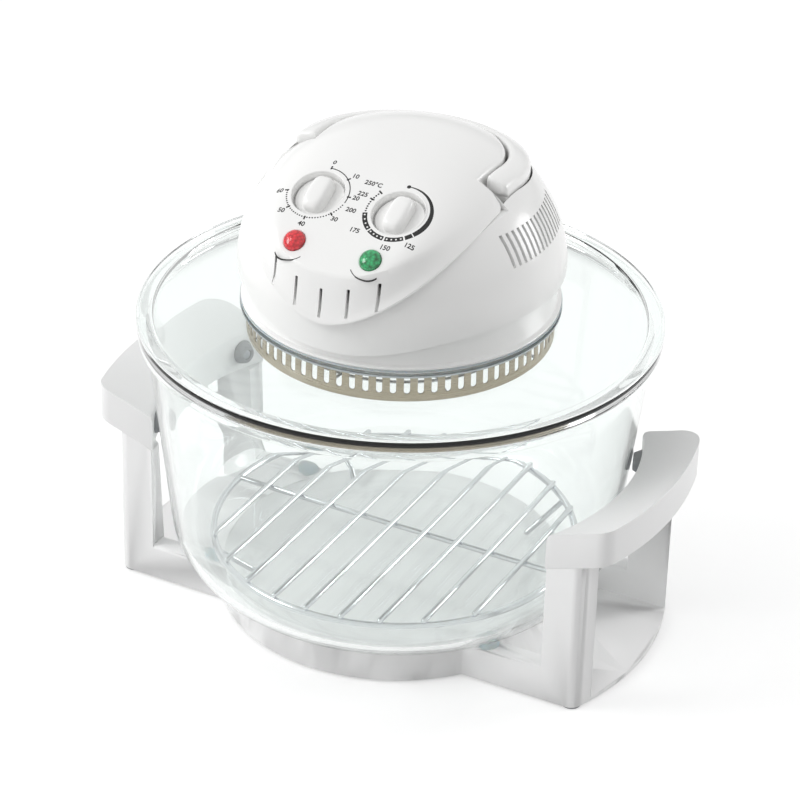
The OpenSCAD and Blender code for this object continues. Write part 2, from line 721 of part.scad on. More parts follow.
module dial_places() {
    for (s = [-1, 1]) on_panel(s * dial_pitch / 2, 0) children();
}

module front_cover() color("white") difference() {
    union() {
        difference() {
            cover_body(0);
            cover_body(shell_t);
        }
        dial_places() translate([0, 0, -cup_depth - 2])
            cylinder(h = cup_depth + 1, r = knob_r + cup_gap + 2, $fn = 48);
    }
    dial_places() {
        translate([0, 0, -cup_depth]) cylinder(h = 30, r = knob_r + cup_gap, $fn = 48);
        translate([0, 0, -cup_depth - 5]) cylinder(h = 10, r = 3.6, $fn = small_fn);
    }
    for (s = [-1, 1]) on_panel(s * (dial_pitch / 2 - 1.5), lens_drop)
        translate([0, 0, -12]) cylinder(h = 40, r = lens_r + seat, $fn = small_fn);
    for (i = [0:front_slots - 1]) let (x = (i - (front_slots - 1) / 2) * 17.5)
        translate([x - 1.4, -130, part_level(cover_front(x)) + 2.5]) cube([2.8, 60, 15.5]);
    for (s = [0, 1]) mirror([s, 0, 0]) pivot_axis(crown_w - 8, crown_w + 4, pivot_r + seat);
}

// distance forward of the cover's outline at a point of its width
function cover_front(x) = ear_y - visor_reach * pow(1 - pow(abs(x) / visor_w, visor_n), 1 / visor_n);

module lens() {
    translate([0, 0, -3.6]) cylinder(h = 4.2, r = lens_r, $fn = small_fn);
    translate([0, 0, 0.55]) intersection() {
        cylinder(h = 3, r = lens_r, $fn = small_fn);
        translate([0, 0, 2.2 - 12]) sphere(r = 12, $fn = 48);
    }
    translate([0, 0, -5.4]) cylinder(h = 1.9, r = lens_r - 1.6, $fn = small_fn);
}

module power_lens() color("red") on_panel(-(dial_pitch / 2 - 1.5), lens_drop) lens();
module heating_lens() color("green") on_panel(dial_pitch / 2 - 1.5, lens_drop) lens();

module indicator_lamps() color("orange") for (s = [-1, 1]) on_panel(s * (dial_pitch / 2 - 1.5), lens_drop) {
    translate([0, 0, -16]) cylinder(h = 10.3, r = 2.6, $fn = 20);
}

// ---------------------------------------------------------------- knobs

// a disc in its recess with a loaf-shaped bar across it, pointing up the panel
module knob() {
    disc_top = -4.5;
    bar_w = 11;
    bar_l = 25;
    bar_top = 3.4;
    side = bar_w / 2;
    end = bar_l / 2;
    translate([0, 0, -cup_depth + 0.4]) rotate_extrude($fn = 48) polygon([
        [0, 0], [knob_r, 0], [knob_r, cup_depth + disc_top - 1.2], [knob_r - 0.8, cup_depth + disc_top - 0.4],
        [0, cup_depth + disc_top - 0.4]]);
    intersection() {
        // across the bar: leaning sides and a round top
        rotate([90, 0, 0]) linear_extrude(bar_l + 2, center = true) polygon(concat(
            [[-side, disc_top - 0.5]], [[side, disc_top - 0.5]],
            arc(side - 4.2, bar_top - 3.2, 3.2, 10, 90, 5),
            arc(-side + 4.2, bar_top - 3.2, 3.2, 90, 170, 5)));
        // along the bar: both ends roll down to the disc
        rotate([90, 0, 90]) linear_extrude(bar_w + 2, center = true) polygon(concat(
            [[-end, disc_top - 1]], [[end, disc_top - 1]],
            arc(end - 5.6, bar_top - 5.2, 5.2, 5, 90, 6),
            arc(-end + 5.6, bar_top - 5.2, 5.2, 90, 175, 6)));
        // seen from above: rounded ends
        translate([0, 0, disc_top - 2]) linear_extrude(20) polygon(concat(
            arc(0, end - side, side, 0, 180, 10), arc(0, -end + side, side, 180, 360, 10)));
    }
    translate([0, 0, -cup_depth - 10]) cylinder(h = 11, r = shaft_r, $fn = small_fn);
}

module timer_knob() color("white") on_panel(-dial_pitch / 2, 0) knob();
module thermostat_knob() color("white") on_panel(dial_pitch / 2, 0) knob();

module timer_body() color("gainsboro") on_panel(-dial_pitch / 2, 0) difference() {
    translate([0, 0, -cup_depth - 2 - seat - 9]) {
        translate([-17, -15, -8]) cube([33, 32, 17]);
        translate([0, 0, -11]) cylinder(h = 4, r = 12, $fn = small_fn);
    }
    translate([0, 0, -cup_depth - 10.3]) cylinder(h = 12, r = shaft_r + run, $fn = small_fn);
}

module thermostat_body() color("silver") on_panel(dial_pitch / 2, 0) difference() {
    translate([0, 0, -cup_depth - 2 - seat - 16]) {
        cylinder(h = 16, r = 14, $fn = small_fn);
        translate([-8, -13, -4]) cube([16, 26, 5]);
    }
    translate([0, 0, -cup_depth - 10.3]) cylinder(h = 12, r = shaft_r + run, $fn = small_fn);
}

// ---------------------------------------------------------------- handle

module carry_handle() color("white") difference() {
    union() {
        difference() {
            intersection() {
                translate([0, 0, pivot_z - 20]) linear_extrude(60)
                    handle_plan(handle_in, handle_out, pivot_y - 5);
                translate([0, 0, handle_proud]) dome_solid(0, dome_z - 20);
            }
            translate([0, 0, handle_proud - handle_t]) dome_solid(0, dome_z - 40);
        }
        pivot_axis(handle_in, handle_out, boss_r);
        mirror([1, 0, 0]) pivot_axis(handle_in, handle_out, boss_r);
        translate([switch_x - 3, pivot_y, pivot_z]) rotate([90, 0, 90]) linear_extrude(6)
            polygon(concat([[0, 0]], arc(0, 0, nub_r, 270 - nub_a, 270 + nub_a, 2)));
    }
    for (s = [0, 1]) mirror([s, 0, 0]) pivot_axis(handle_in - 1, handle_out - 2, pivot_r + run);
}

module handle_pivots() color("silver") for (s = [0, 1]) mirror([s, 0, 0]) {
    pivot_axis(crown_w - shell_t - 1, handle_out - 3, pivot_r);
    pivot_axis(crown_w - shell_t - 4.5, crown_w - shell_t - 1 + eps, pivot_r + 2.5);
}

// The switch that cuts the power while the handle stands up. Its plunger
// comes up through the floor of the handle's channel, under the nub.
module safety_switch() color("black") difference() {
    translate([switch_x - 3.5, pivot_y - 10, pivot_z - nub_r - 2.5 - 11]) cube([7, 20, 11]);
    translate([switch_x, pivot_y, pivot_z - 19]) cylinder(h = 12, r = plunger_r + run, $fn = small_fn);
}

module switch_plunger() color("firebrick")
    translate([switch_x, pivot_y, pivot_z - 18]) cylinder(h = 18 - nub_r - 0.5, r = plunger_r, $fn = small_fn);

// ---------------------------------------------------------------- motor

module motor_shaft() color("silver")
    translate([0, 0, hot_fan_z - 3]) cylinder(h = motor_z + motor_h + 8 - hot_fan_z, r = shaft_r, $fn = small_fn);

module fan_wheel(r, h, blades, hub) {
    difference() {
        union() {
            cylinder(h = 1.2, r = r, $fn = small_fn * 2);
            cylinder(h = h, r = hub, $fn = small_fn);
            for (i = [0:blades - 1]) rotate([0, 0, i * 360 / blades])
                translate([hub + 6, -0.6, 0]) rotate([0, 0, 18]) cube([r - hub - 9, 1.2, h]);
        }
        translate([0, 0, -1]) cylinder(h = h + 2, r = shaft_r + 0.02, $fn = small_fn);
    }
}

module hot_fan() color("silver") translate([0, 0, hot_fan_z]) fan_wheel(hot_fan_r, 8, 8, 8);
module cooling_fan() color("darkgray") translate([0, 0, cool_fan_z]) fan_wheel(cool_fan_r, 9, 9, 9);

module fan_nut() color("silver") difference() {
    translate([0, 0, hot_fan_z - 3]) cylinder(h = 2.9, r = 5.5, $fn = 6);
    translate([0, 0, hot_fan_z - 4]) cylinder(h = 5, r = shaft_r + 0.02, $fn = small_fn);
}

motor_post_x = 34;

module motor_bracket() color("silver") difference() {
    union() {
        translate([-motor_post_x - 5, -9, motor_z - 2]) cube([2 * motor_post_x + 10, 18, 1.9]);
        for (s = [-1, 1]) {
            translate([s * 70, 0, deck_z + deck_t + seat]) cylinder(h = motor_z - deck_z - deck_t - 2, r = 4, $fn = small_fn);
            translate([s > 0 ? motor_post_x : -74, -6, motor_z - 2]) cube([74 - motor_post_x, 12, 1.9]);
        }
    }
    translate([0, 0, motor_z - 5]) cylinder(h = 10, r = 8, $fn = small_fn);
}

module motor_core() color("dimgray") difference() {
    translate([-28, -22, motor_z]) cube([56, 44, motor_h - 8]);
    translate([0, 0, motor_z - 1]) cylinder(h = motor_h, r = 14, $fn = small_fn * 2);
    translate([-50, 13.5, motor_z - 1]) cube([35, 9, motor_h]);
    translate([15, 13.5, motor_z - 1]) cube([35, 9, motor_h]);
}

module motor_coil() color("chocolate") difference() {
    translate([-14, 12.5 + 10, motor_z - 1 + seat]) cube([28, 9, motor_h - 6]);
    translate([-10, 12.5 + 9, motor_z + 3]) cube([20, 8, motor_h - 14]);
}

module motor_bearings() color("peru") for (z = [motor_z - 1.9, motor_z + motor_h - 8 + seat])
    translate([0, 0, z]) difference() {
        cylinder(h = z > motor_z ? 5 : 1.7, r = z > motor_z ? 16 : 7.9, $fn = small_fn);
        translate([0, 0, -1]) cylinder(h = 8, r = shaft_r + run, $fn = small_fn);
    }

module rotor_core() color("gray") difference() {
    translate([0, 0, motor_z + 0.4]) cylinder(h = motor_h - 8 - 0.8, r = 13.4, $fn = small_fn * 2);
    translate([0, 0, motor_z - 1]) cylinder(h = motor_h, r = shaft_r + 0.02, $fn = small_fn);
}

module thermal_fuse() color("silver") translate([-80, -16, deck_z + deck_t + seat]) {
    translate([0, 0, 2.2]) rotate([0, 90, 60]) cylinder(h = 14, r = 2.2, $fn = 20);
}

module terminal_block() color("ivory") translate([14, 60, deck_z + deck_t + seat]) difference() {
    cube([30, 14, 10]);
    for (i = [0:2]) translate([5.5 + i * 9.5, 7, 4]) cylinder(h = 10, r = 2, $fn = 20);
}

module cord_gland() color("white") translate([0, dome_r - 10, gland_z]) rotate([-90, 0, 0]) difference() {
    union() {
        cylinder(h = 16, r = 6, $fn = small_fn);
        translate([0, 0, 9.9]) cylinder(h = 2.2, r = 8, $fn = small_fn);
        cylinder(h = 3, r = 8, $fn = small_fn);
    }
    translate([0, 0, -1]) cylinder(h = 20, r = 3.4, $fn = small_fn);
}

stand_base();
left_grip();
right_grip();
grip_screws();
bowl_pads();
bumpers();
bumper_screws();
feet();
bowl();
low_rack();
glass_lid();
lid_seal();
lid_retainer();
collar();
housing();
front_cover();
guard_ring();
fan_grille();
reflector();
lamp_tube();
lamp_holders();
insulation_pad();
motor_bracket();
motor_core();
motor_coil();
motor_bearings();
timer_body();
thermostat_body();
sensor_bulb();
power_lens();
heating_lens();
indicator_lamps();
safety_switch();
thermal_fuse();
terminal_block();
cord_gland();
collar_screws();
handle_pivots();
carry_handle();
timer_knob();
thermostat_knob();
switch_plunger();
motor_shaft();
rotor_core();
hot_fan();
cooling_fan();
fan_nut();
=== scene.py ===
"""Looks of a halogen oven: glass bowl and lid, white heating head, two dials, stand with side grips.

Lengths inside the builders are in millimetres, in the frame of the CAD part; meshes are in metres.
"""

import json
from functools import partial
from math import atan2, copysign, cos, degrees, dist, hypot, pi, radians, sin, sqrt, tan
from types import SimpleNamespace

import bmesh
import bpy
import numpy as np
from bpy.props import FloatProperty, FloatVectorProperty, IntProperty, PointerProperty
from mathutils import Matrix, Vector

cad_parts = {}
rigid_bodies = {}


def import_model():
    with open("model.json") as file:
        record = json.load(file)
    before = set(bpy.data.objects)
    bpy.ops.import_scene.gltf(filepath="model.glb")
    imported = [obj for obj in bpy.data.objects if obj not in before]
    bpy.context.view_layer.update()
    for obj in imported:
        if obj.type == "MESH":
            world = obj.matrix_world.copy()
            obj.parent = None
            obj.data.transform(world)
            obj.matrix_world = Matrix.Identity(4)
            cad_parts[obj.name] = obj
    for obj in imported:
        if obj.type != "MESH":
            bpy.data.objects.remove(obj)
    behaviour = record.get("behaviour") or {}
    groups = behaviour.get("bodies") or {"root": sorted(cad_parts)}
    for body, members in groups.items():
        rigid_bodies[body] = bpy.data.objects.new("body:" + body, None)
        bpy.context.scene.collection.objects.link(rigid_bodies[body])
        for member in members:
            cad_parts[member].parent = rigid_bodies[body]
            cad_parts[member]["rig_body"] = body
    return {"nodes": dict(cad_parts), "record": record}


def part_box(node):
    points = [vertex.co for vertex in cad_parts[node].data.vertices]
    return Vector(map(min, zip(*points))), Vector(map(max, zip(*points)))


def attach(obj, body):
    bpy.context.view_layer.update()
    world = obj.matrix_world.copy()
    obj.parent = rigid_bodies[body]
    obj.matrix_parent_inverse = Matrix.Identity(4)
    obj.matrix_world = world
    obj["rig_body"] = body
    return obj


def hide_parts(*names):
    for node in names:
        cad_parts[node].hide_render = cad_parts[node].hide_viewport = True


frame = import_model()
NODES = frame["nodes"]
SLOTS = {part["node"]: part["material_slot"] for part in frame["record"]["subparts"]}
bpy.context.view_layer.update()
MM = 0.001

bl_info = {
    "name": "Halogen oven",
    "version": (1, 0, 0),
    "blender": (4, 5, 0),
    "location": "View3D > Sidebar > Oven",
    "description": "Builds the visible pieces of a halogen oven around its CAD part",
    "category": "Object",
}


def linear(hex_colour):
    """An sRGB hex colour such as #F2F2F0 as linear red, green, blue."""
    parts = [int(hex_colour[i:i + 2], 16) / 255 for i in (1, 3, 5)]
    return tuple(c / 12.92 if c <= 0.04045 else ((c + 0.055) / 1.055) ** 2.4 for c in parts)


# ---------------------------------------------------------- sizes and colours

def length(label, text, value):
    """A length that a user can change, from its default in millimetres."""
    return FloatProperty(name=label, description=text, default=value * MM, unit="LENGTH", precision=4)


def colour(label, text, value):
    """A colour that a user can change."""
    return FloatVectorProperty(name=label, description=text, default=linear(value),
                               subtype="COLOR", min=0, max=1, size=3)


class OvenHeadSizes(bpy.types.PropertyGroup):
    """Sizes of the white heating head"""
    dome_r: length("Dome radius", "Radius of the housing at its widest level", 100.7)
    dome_h: length("Dome height", "Rise of the dome above its widest level", 79)
    dome_z: length("Dome level", "Level of the dome's widest part above the table", 241)
    skirt_h: length("Skirt", "Straight side of the housing under the dome", 20.4)
    shell_t: length("Wall", "Wall of the moulded housing and cover", 2.8)
    visor_w: length("Cover half width", "Half the width of the front cover at its ears", 73)
    visor_reach: length("Cover reach", "From the ears forward to the front of the cover", 92)
    ear_y: length("Ears", "Rear edge of the cover's ears", -14)
    crown_w: length("Crown half width", "Half the width of the crown between the handle's arms", 56)
    crown_y: length("Crown centre", "Centre of the crown's round rear end", 10)
    panel_y: length("Panel centre", "Where the dials' centres lie from the middle", -59)
    panel_h: length("Panel height", "Dial centres above the dome's widest level", 59.6)
    panel_tilt: FloatProperty(name="Panel tilt", description="Slope of the control panel",
                              default=radians(26.2), subtype="ANGLE")
    dial_pitch: length("Dial pitch", "Distance between the dial centres", 53.4)
    lens_drop: length("Lens drop", "Down the panel from a dial to its lens", 34.5)
    knob_r: length("Knob radius", "Radius of a knob's disc", 15)
    cup_depth: length("Recess depth", "Depth of a dial's recess", 7)
    cup_gap: length("Recess gap", "Gap round a knob's disc", 1.2)
    lens_r: length("Lens radius", "Radius of a lamp lens", 6.6)
    vent_w: length("Vent width", "Width of a vent slot", 2.2)
    vent_pitch: length("Vent pitch", "Distance between vent slots", 4.9)
    vent_count: IntProperty(name="Vents", description="Vent slots in each side", default=15, min=1)
    front_slots: IntProperty(name="Front slots", description="Slots in the apron", default=5, min=1)
    handle_w: length("Handle width", "Width of the handle's bar", 14)
    handle_t: length("Handle depth", "Depth of the handle's bar", 11)
    handle_proud: length("Handle rise", "Height of the handle over the dome", 1.5)


class OvenGlassSizes(bpy.types.PropertyGroup):
    """Sizes of the glass bowl and lid"""
    wall: length("Glass wall", "Wall of the bowl and the lid", 4.5)
    bowl_z: length("Bowl level", "Underside of the bowl above the table", 20)
    foot_r: length("Bowl flat", "Radius of the flat under the bowl", 95)
    low_r: length("Bowl radius", "Radius where the wall leaves the bottom curve", 142.9)
    neck_r: length("Neck radius", "Radius of the bowl just under its rim", 157)
    curve_h: length("Bottom curve", "Height of the bottom curve", 46.6)
    bowl_h: length("Bowl height", "Height of the whole bowl", 175.4)
    rim_r: length("Rim radius", "Radius of the bowl's rim", 162)
    lid_rim_h: length("Lid rim height", "Height of the lid's thick rim", 6.6)
    lid_rim_w: length("Lid rim width", "Width of the lid's thick rim", 11)
    lid_rise: length("Lid rise", "Rise of the lid from its rim to the hole", 12.6)
    lid_hole_r: length("Lid hole", "Radius of the hole for the head", 96)


class OvenMetalSizes(bpy.types.PropertyGroup):
    """Sizes of the guard ring and the rack"""
    guard_r: length("Guard radius", "Radius of the slotted guard ring", 94.7)
    guard_h: length("Guard height", "Height of the guard ring", 24)
    guard_t: length("Guard sheet", "Sheet thickness of the guard ring", 0.8)
    guard_slots: IntProperty(name="Guard slots", description="Slots round the ring", default=72, min=8)
    slot_w: length("Slot width", "Width of a slot in the ring", 3.6)
    slot_h: length("Slot height", "Height of a slot in the ring", 13)
    rack_r: length("Rack radius", "Radius of the wire rack's ring", 116)
    rack_h: length("Rack height", "Height of the rack over the bowl's floor", 22)
    wire_r: length("Wire radius", "Radius of the rack's wires", 1.8)


class OvenColours(bpy.types.PropertyGroup):
    """Colours that a user would change"""
    head: colour("Head", "Glossy white plastic of the head", "#F3F3F2")
    stand: colour("Stand", "Satin white plastic of the stand", "#EFEFEF")
    guard: colour("Guard ring", "Warm brushed steel of the guard ring", "#A79D8A")
    power: colour("Power lens", "Clear red plastic", "#D4001C")
    heating: colour("Heating lens", "Clear green plastic", "#007A3C")


GROUPS = {"oven_head": OvenHeadSizes, "oven_glass": OvenGlassSizes,
          "oven_metal": OvenMetalSizes, "oven_colours": OvenColours}


def sizes(kind):
    """The sizes of one group, head, glass or metal, with lengths in millimetres."""
    group, values = getattr(bpy.context.scene, "oven_" + kind), {}
    for prop in group.bl_rna.properties:
        if prop.identifier in group.__annotations__:
            value = getattr(group, prop.identifier)
            values[prop.identifier] = value / MM if prop.unit == "LENGTH" else value
    return SimpleNamespace(**values)


# ---------------------------------------------------------- meshes

def new_object(name, data):
    """An object of the scene."""
    obj = bpy.data.objects.new(name, data)
    bpy.context.scene.collection.objects.link(obj)
    return obj


def built(bm, name, mesh=None):
    """Turns a finished bmesh into an object."""
    mesh = mesh or bpy.data.meshes.new(name)
    bm.to_mesh(mesh)
    bm.free()
    return new_object(name, mesh)


def solid(name, verts, faces, place=None):
    """An object from millimetre points, its faces turned outwards."""
    mesh = bpy.data.meshes.new(name)
    mesh.from_pydata([tuple(v) for v in verts], [], [tuple(f) for f in faces])
    bm = bmesh.new()
    bm.from_mesh(mesh)
    bmesh.ops.remove_doubles(bm, verts=bm.verts, dist=1e-4)
    bmesh.ops.recalc_face_normals(bm, faces=bm.faces)
    bm.transform(Matrix.Scale(MM, 4) @ (place or Matrix.Identity(4)))
    return built(bm, name, mesh)


def plain_mesh(obj):
    """An object's mesh with its modifiers applied."""
    bpy.context.view_layer.update()
    return bpy.data.meshes.new_from_object(obj.evaluated_get(bpy.context.evaluated_depsgraph_get()))


def settle(obj):
    """Turns an object with modifiers into its plain mesh."""
    mesh = plain_mesh(obj)
    obj.modifiers.clear()
    obj.data = mesh
    return obj


def carve(obj, tool, how="DIFFERENCE"):
    """Cuts, joins or keeps the common part of two solids; the tool goes away."""
    cut = obj.modifiers.new("cut", "BOOLEAN")
    cut.operation, cut.solver, cut.object = how, "MANIFOLD", tool
    settle(obj)
    bpy.data.objects.remove(tool)
    return obj


def joined(name, *parts):
    """One object from several, each kept as it is."""
    bm = bmesh.new()
    for part in parts:
        bm.from_mesh(part.data)
        bpy.data.objects.remove(part)
    return built(bm, name)


def shade(obj, sharp):
    """Smooth shading, broken at edges sharper than this many degrees."""
    for face in obj.data.polygons:
        face.use_smooth = True
    obj.data.set_sharp_from_angle(angle=radians(sharp))


def finish(obj, material, node, sharp):
    """Shades a piece, paints it and lets it stand for its CAD node."""
    shade(obj, sharp)
    obj.data.materials.clear()
    obj.data.materials.append(material)
    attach(obj, NODES[node]["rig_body"])
    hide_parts(node)


def turned(name, profile, turns=192, place=None):
    """A body of revolution about Z from a closed line of (radius, height) points."""
    verts, rows = [], []
    angles = [2 * pi * i / turns for i in range(turns)]
    for r, z in profile:
        start = len(verts)
        if r < 1e-6:
            verts.append((0, 0, z))
            rows.append([start] * turns)
        else:
            verts += [(r * cos(a), r * sin(a), z) for a in angles]
            rows.append(list(range(start, start + turns)))
    faces = []
    for a, b in zip(rows, rows[1:] + rows[:1]):
        for i in range(turns):
            j = (i + 1) % turns
            ring = list(dict.fromkeys((a[i], a[j], b[j], b[i])))
            if len(ring) > 2:
                faces.append(ring)
    return solid(name, verts, faces, place)


def ring_faces(rings, n, closed=False):
    """Faces between rings of n points, the last ring joined to the first if closed."""
    pairs = [(k, k + 1) for k in range(rings - 1)] + [(rings - 1, 0)] * closed
    return [(a * n + k, a * n + (k + 1) % n, b * n + (k + 1) % n, b * n + k) for a, b in pairs for k in range(n)]


def caps(rings, n):
    """The faces that close the first and the last ring."""
    return [range(n), range((rings - 1) * n, rings * n)]


def prism(name, outline, low, high, along="Z"):
    """A straight prism: an outline on two axes pushed along the third."""
    i, n = "XYZ".index(along), len(outline)
    verts = [(*p[:i], h, *p[i:]) for h in (low, high) for p in outline]
    return solid(name, verts, caps(2, n) + ring_faces(2, n))


def block(name, low, high):
    """A box between two corners."""
    (x0, y0, z0), (x1, y1, z1) = low, high
    return prism(name, [(x0, y0), (x1, y0), (x1, y1), (x0, y1)], z0, z1)


def arc(cx, cy, r, start, end, steps):
    """Points of an arc in degrees, both ends included."""
    angles = [radians(start + (end - start) * i / steps) for i in range(steps + 1)]
    return [(cx + r * cos(a), cy + r * sin(a)) for a in angles]


def bend(value, power):
    """A power that keeps the sign, which turns a circle into a squarer or rounder loop."""
    return copysign(abs(value) ** power, value)


def wire(name, path, radius, sides=12, closed=False):
    """A round wire along a path of points, its ends domed."""
    path = [Vector(p) for p in path]
    n = len(path)
    dome = [(0, 1), (0.6, 0.8), (0.92, 0.38)]        # beyond the end and across, in radii
    rings, up = [], None
    for i, p in enumerate(path):
        ahead = path[(i + 1) % n] if closed or i < n - 1 else p
        behind = path[i - 1] if closed or i > 0 else p
        along = (ahead - behind).normalized()
        up = along.orthogonal().normalized() if up is None else (up - along * up.dot(along)).normalized()
        side = along.cross(up)
        steps = dome[:1]
        if not closed and i in (0, n - 1):
            steps = [(-back, scale) for back, scale in dome[::-1]] if i == 0 else dome
        for back, scale in steps:
            centre = p + along * radius * back
            rings.append([centre + (up * cos(t) + side * sin(t)) * radius * scale
                          for t in (2 * pi * k / sides for k in range(sides))])
    faces = ring_faces(len(rings), sides, closed) + ([] if closed else caps(len(rings), sides))
    return solid(name, [v for ring in rings for v in ring], faces)


GRIP_IN_R = 154.5                                # inner face of the side grips
GRIP_OUT_X, GRIP_OUT_R = -47, 235                # centre and radius of the right grip's outer face
BUMPER_SHARE = 0.465                             # how far the bumpers still reach in from the grips
PLATE_TOP, BUMPER_LOW = 40, 90                   # above the stand's plate and pads; under the bumpers


def bowl_level(g, r):
    """Height of the bowl's underside at a radius."""
    share = min(1, max(0, r - g.foot_r) / (g.low_r - g.foot_r))
    return g.bowl_z + g.curve_h * (1 - sqrt(1 - share * share))


def clear_of_bowl(g, point):
    """Moves a point of the stand out of the glass, which is fuller here than in the CAD part."""
    x, y, z = (value / MM for value in point)
    r = hypot(x, y)
    if z < PLATE_TOP and r < g.low_r - 3:
        z = min(z, bowl_level(g, r) - 0.3)
    elif z > BUMPER_LOW and 1 < r < GRIP_IN_R:
        share = (GRIP_IN_R - (GRIP_IN_R - r) * BUMPER_SHARE) / r
        x, y = x * share, y * share
    return Vector((x, y, z)) * MM


def grip_corner(side):
    """Cutter that rounds the rear outer corner of a side grip."""
    r, beyond, rear = 20, 30, (Vector(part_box("right_grip")[1]) / MM).y
    x = GRIP_OUT_X + sqrt((GRIP_OUT_R - r) ** 2 - (rear - r) ** 2)
    turn = degrees(atan2(rear - r, x - GRIP_OUT_X))
    far = arc(GRIP_OUT_X, 0, GRIP_OUT_R + beyond, turn, 90, 1)[0]
    outline = arc(x, rear - r, r, turn, 90, 12) + [(x, rear + r), (far[0], rear + r), far]
    return prism("corner", [(side * px, py) for px, py in outline], 80, 140)


def welded_copy(node, material, edge, segments=3, move=None, trim=None):
    """A welded copy of a CAD node with its edges rounded, which stands for the node."""
    bm = bmesh.new()
    bm.from_mesh(NODES[node].data)
    bmesh.ops.remove_doubles(bm, verts=bm.verts, dist=3e-6)
    bmesh.ops.dissolve_degenerate(bm, dist=1e-6, edges=bm.edges)
    for vert in bm.verts if move else ():
        vert.co = move(vert.co)
    bmesh.ops.dissolve_limit(bm, angle_limit=radians(0.5), verts=bm.verts, edges=bm.edges)
    obj = built(bm, node + "_finished")
    if trim:
        carve(obj, trim)
    bevel = obj.modifiers.new("edges", "BEVEL")
    bevel.width, bevel.segments = edge * MM, segments
    bevel.limit_method, bevel.angle_limit = "ANGLE", radians(28)
    finish(settle(obj), material, node, 32)


# ---------------------------------------------------------- repeated shapes

def put(tree, kind, values=(), **settings):
    """Adds a node; values maps an input to a constant or to the socket that feeds it."""
    node = tree.nodes.new(kind)
    for key, value in settings.items():
        setattr(node, key, value)
    for key, value in dict(values).items():
        if isinstance(value, bpy.types.NodeSocket):
            tree.links.new(value, node.inputs[key])
        else:
            node.inputs[key].default_value = value
    return node


def repeat_tree(material):
    """Geometry Nodes: one shape again and again, turned about Z and shifted each time."""
    tree = bpy.data.node_groups.new("repeat_" + material.name, "GeometryNodeTree")
    for name, kind in (("Shape", "Object"), ("Count", "Int"), ("Turn", "Float"), ("Shift", "Vector")):
        tree.interface.new_socket(name, in_out="INPUT", socket_type="NodeSocket" + kind)
    tree.interface.new_socket("Geometry", in_out="OUTPUT", socket_type="NodeSocketGeometry")
    given = put(tree, "NodeGroupInput").outputs
    shape = put(tree, "GeometryNodeObjectInfo", {"Object": given["Shape"]})
    index = put(tree, "GeometryNodeInputIndex").outputs[0]
    turn = put(tree, "ShaderNodeMath", {0: index, 1: given["Turn"]}, operation="MULTIPLY")
    angle = put(tree, "ShaderNodeCombineXYZ", {"Z": turn.outputs[0]})
    shift = put(tree, "ShaderNodeVectorMath", {0: given["Shift"], "Scale": index}, operation="SCALE")
    points = put(tree, "GeometryNodePoints", {"Count": given["Count"], "Position": shift.outputs[0]})
    copies = put(tree, "GeometryNodeInstanceOnPoints", {
        "Points": points.outputs[0], "Instance": shape.outputs["Geometry"], "Rotation": angle.outputs[0]})
    real = put(tree, "GeometryNodeRealizeInstances", {0: copies.outputs[0]})
    weld = put(tree, "GeometryNodeMergeByDistance", {"Geometry": real.outputs[0], "Distance": 2e-6})
    paint = put(tree, "GeometryNodeSetMaterial", {"Geometry": weld.outputs[0], "Material": material})
    put(tree, "NodeGroupOutput", {0: paint.outputs[0]})
    return tree


def repeated(name, shape, count, material, turn=0.0, shift=(0, 0, 0)):
    """A plain mesh of count copies of a shape; turn in degrees and shift in millimetres."""
    obj = new_object(name, bpy.data.meshes.new(name))
    nodes = obj.modifiers.new("repeat", "NODES")
    nodes.node_group = repeat_tree(material)
    values = {"Shape": shape, "Count": count, "Turn": radians(turn), "Shift": [s * MM for s in shift]}
    for item in nodes.node_group.interface.items_tree:
        if item.in_out == "INPUT":
            nodes[item.identifier] = values[item.name]
    settle(obj)
    bpy.data.objects.remove(shape)
    return obj


# ---------------------------------------------------------- materials

MATERIALS = {}


def coat(name, hex_or_rgb, roughness, metallic=0.0, **sockets):
    """A Principled material; more sockets are given by name with _ for spaces."""
    made = bpy.data.materials.new(name)
    made.use_nodes = True
    tree = made.node_tree
    tree.nodes.clear()
    rgb = linear(hex_or_rgb) if isinstance(hex_or_rgb, str) else hex_or_rgb
    values = {"Base Color": (*rgb, 1), "Roughness": roughness, "Metallic": metallic}
    values.update({key.replace("_", " "): value for key, value in sockets.items()})
    shader = put(tree, "ShaderNodeBsdfPrincipled", values)
    put(tree, "ShaderNodeOutputMaterial", {"Surface": shader.outputs[0]})
    return made, tree, shader


def pattern(tree, at, kind, size, amount=2.0):
    """A pattern's value, with features of about size millimetres; amount is its detail or distortion."""
    if kind == "grain":
        return put(tree, "ShaderNodeTexNoise", {"Vector": at, "Scale": 1 / size, "Detail": amount}).outputs[0]
    if kind == "layers":
        return put(tree, "ShaderNodeTexWave", {"Vector": at, "Scale": pi / 10 / size, "Distortion": amount},
                   bands_direction="Z").outputs["Fac"]
    return put(tree, "ShaderNodeTexVoronoi", {"Vector": at, "Scale": 1 / size}).outputs["Distance"]


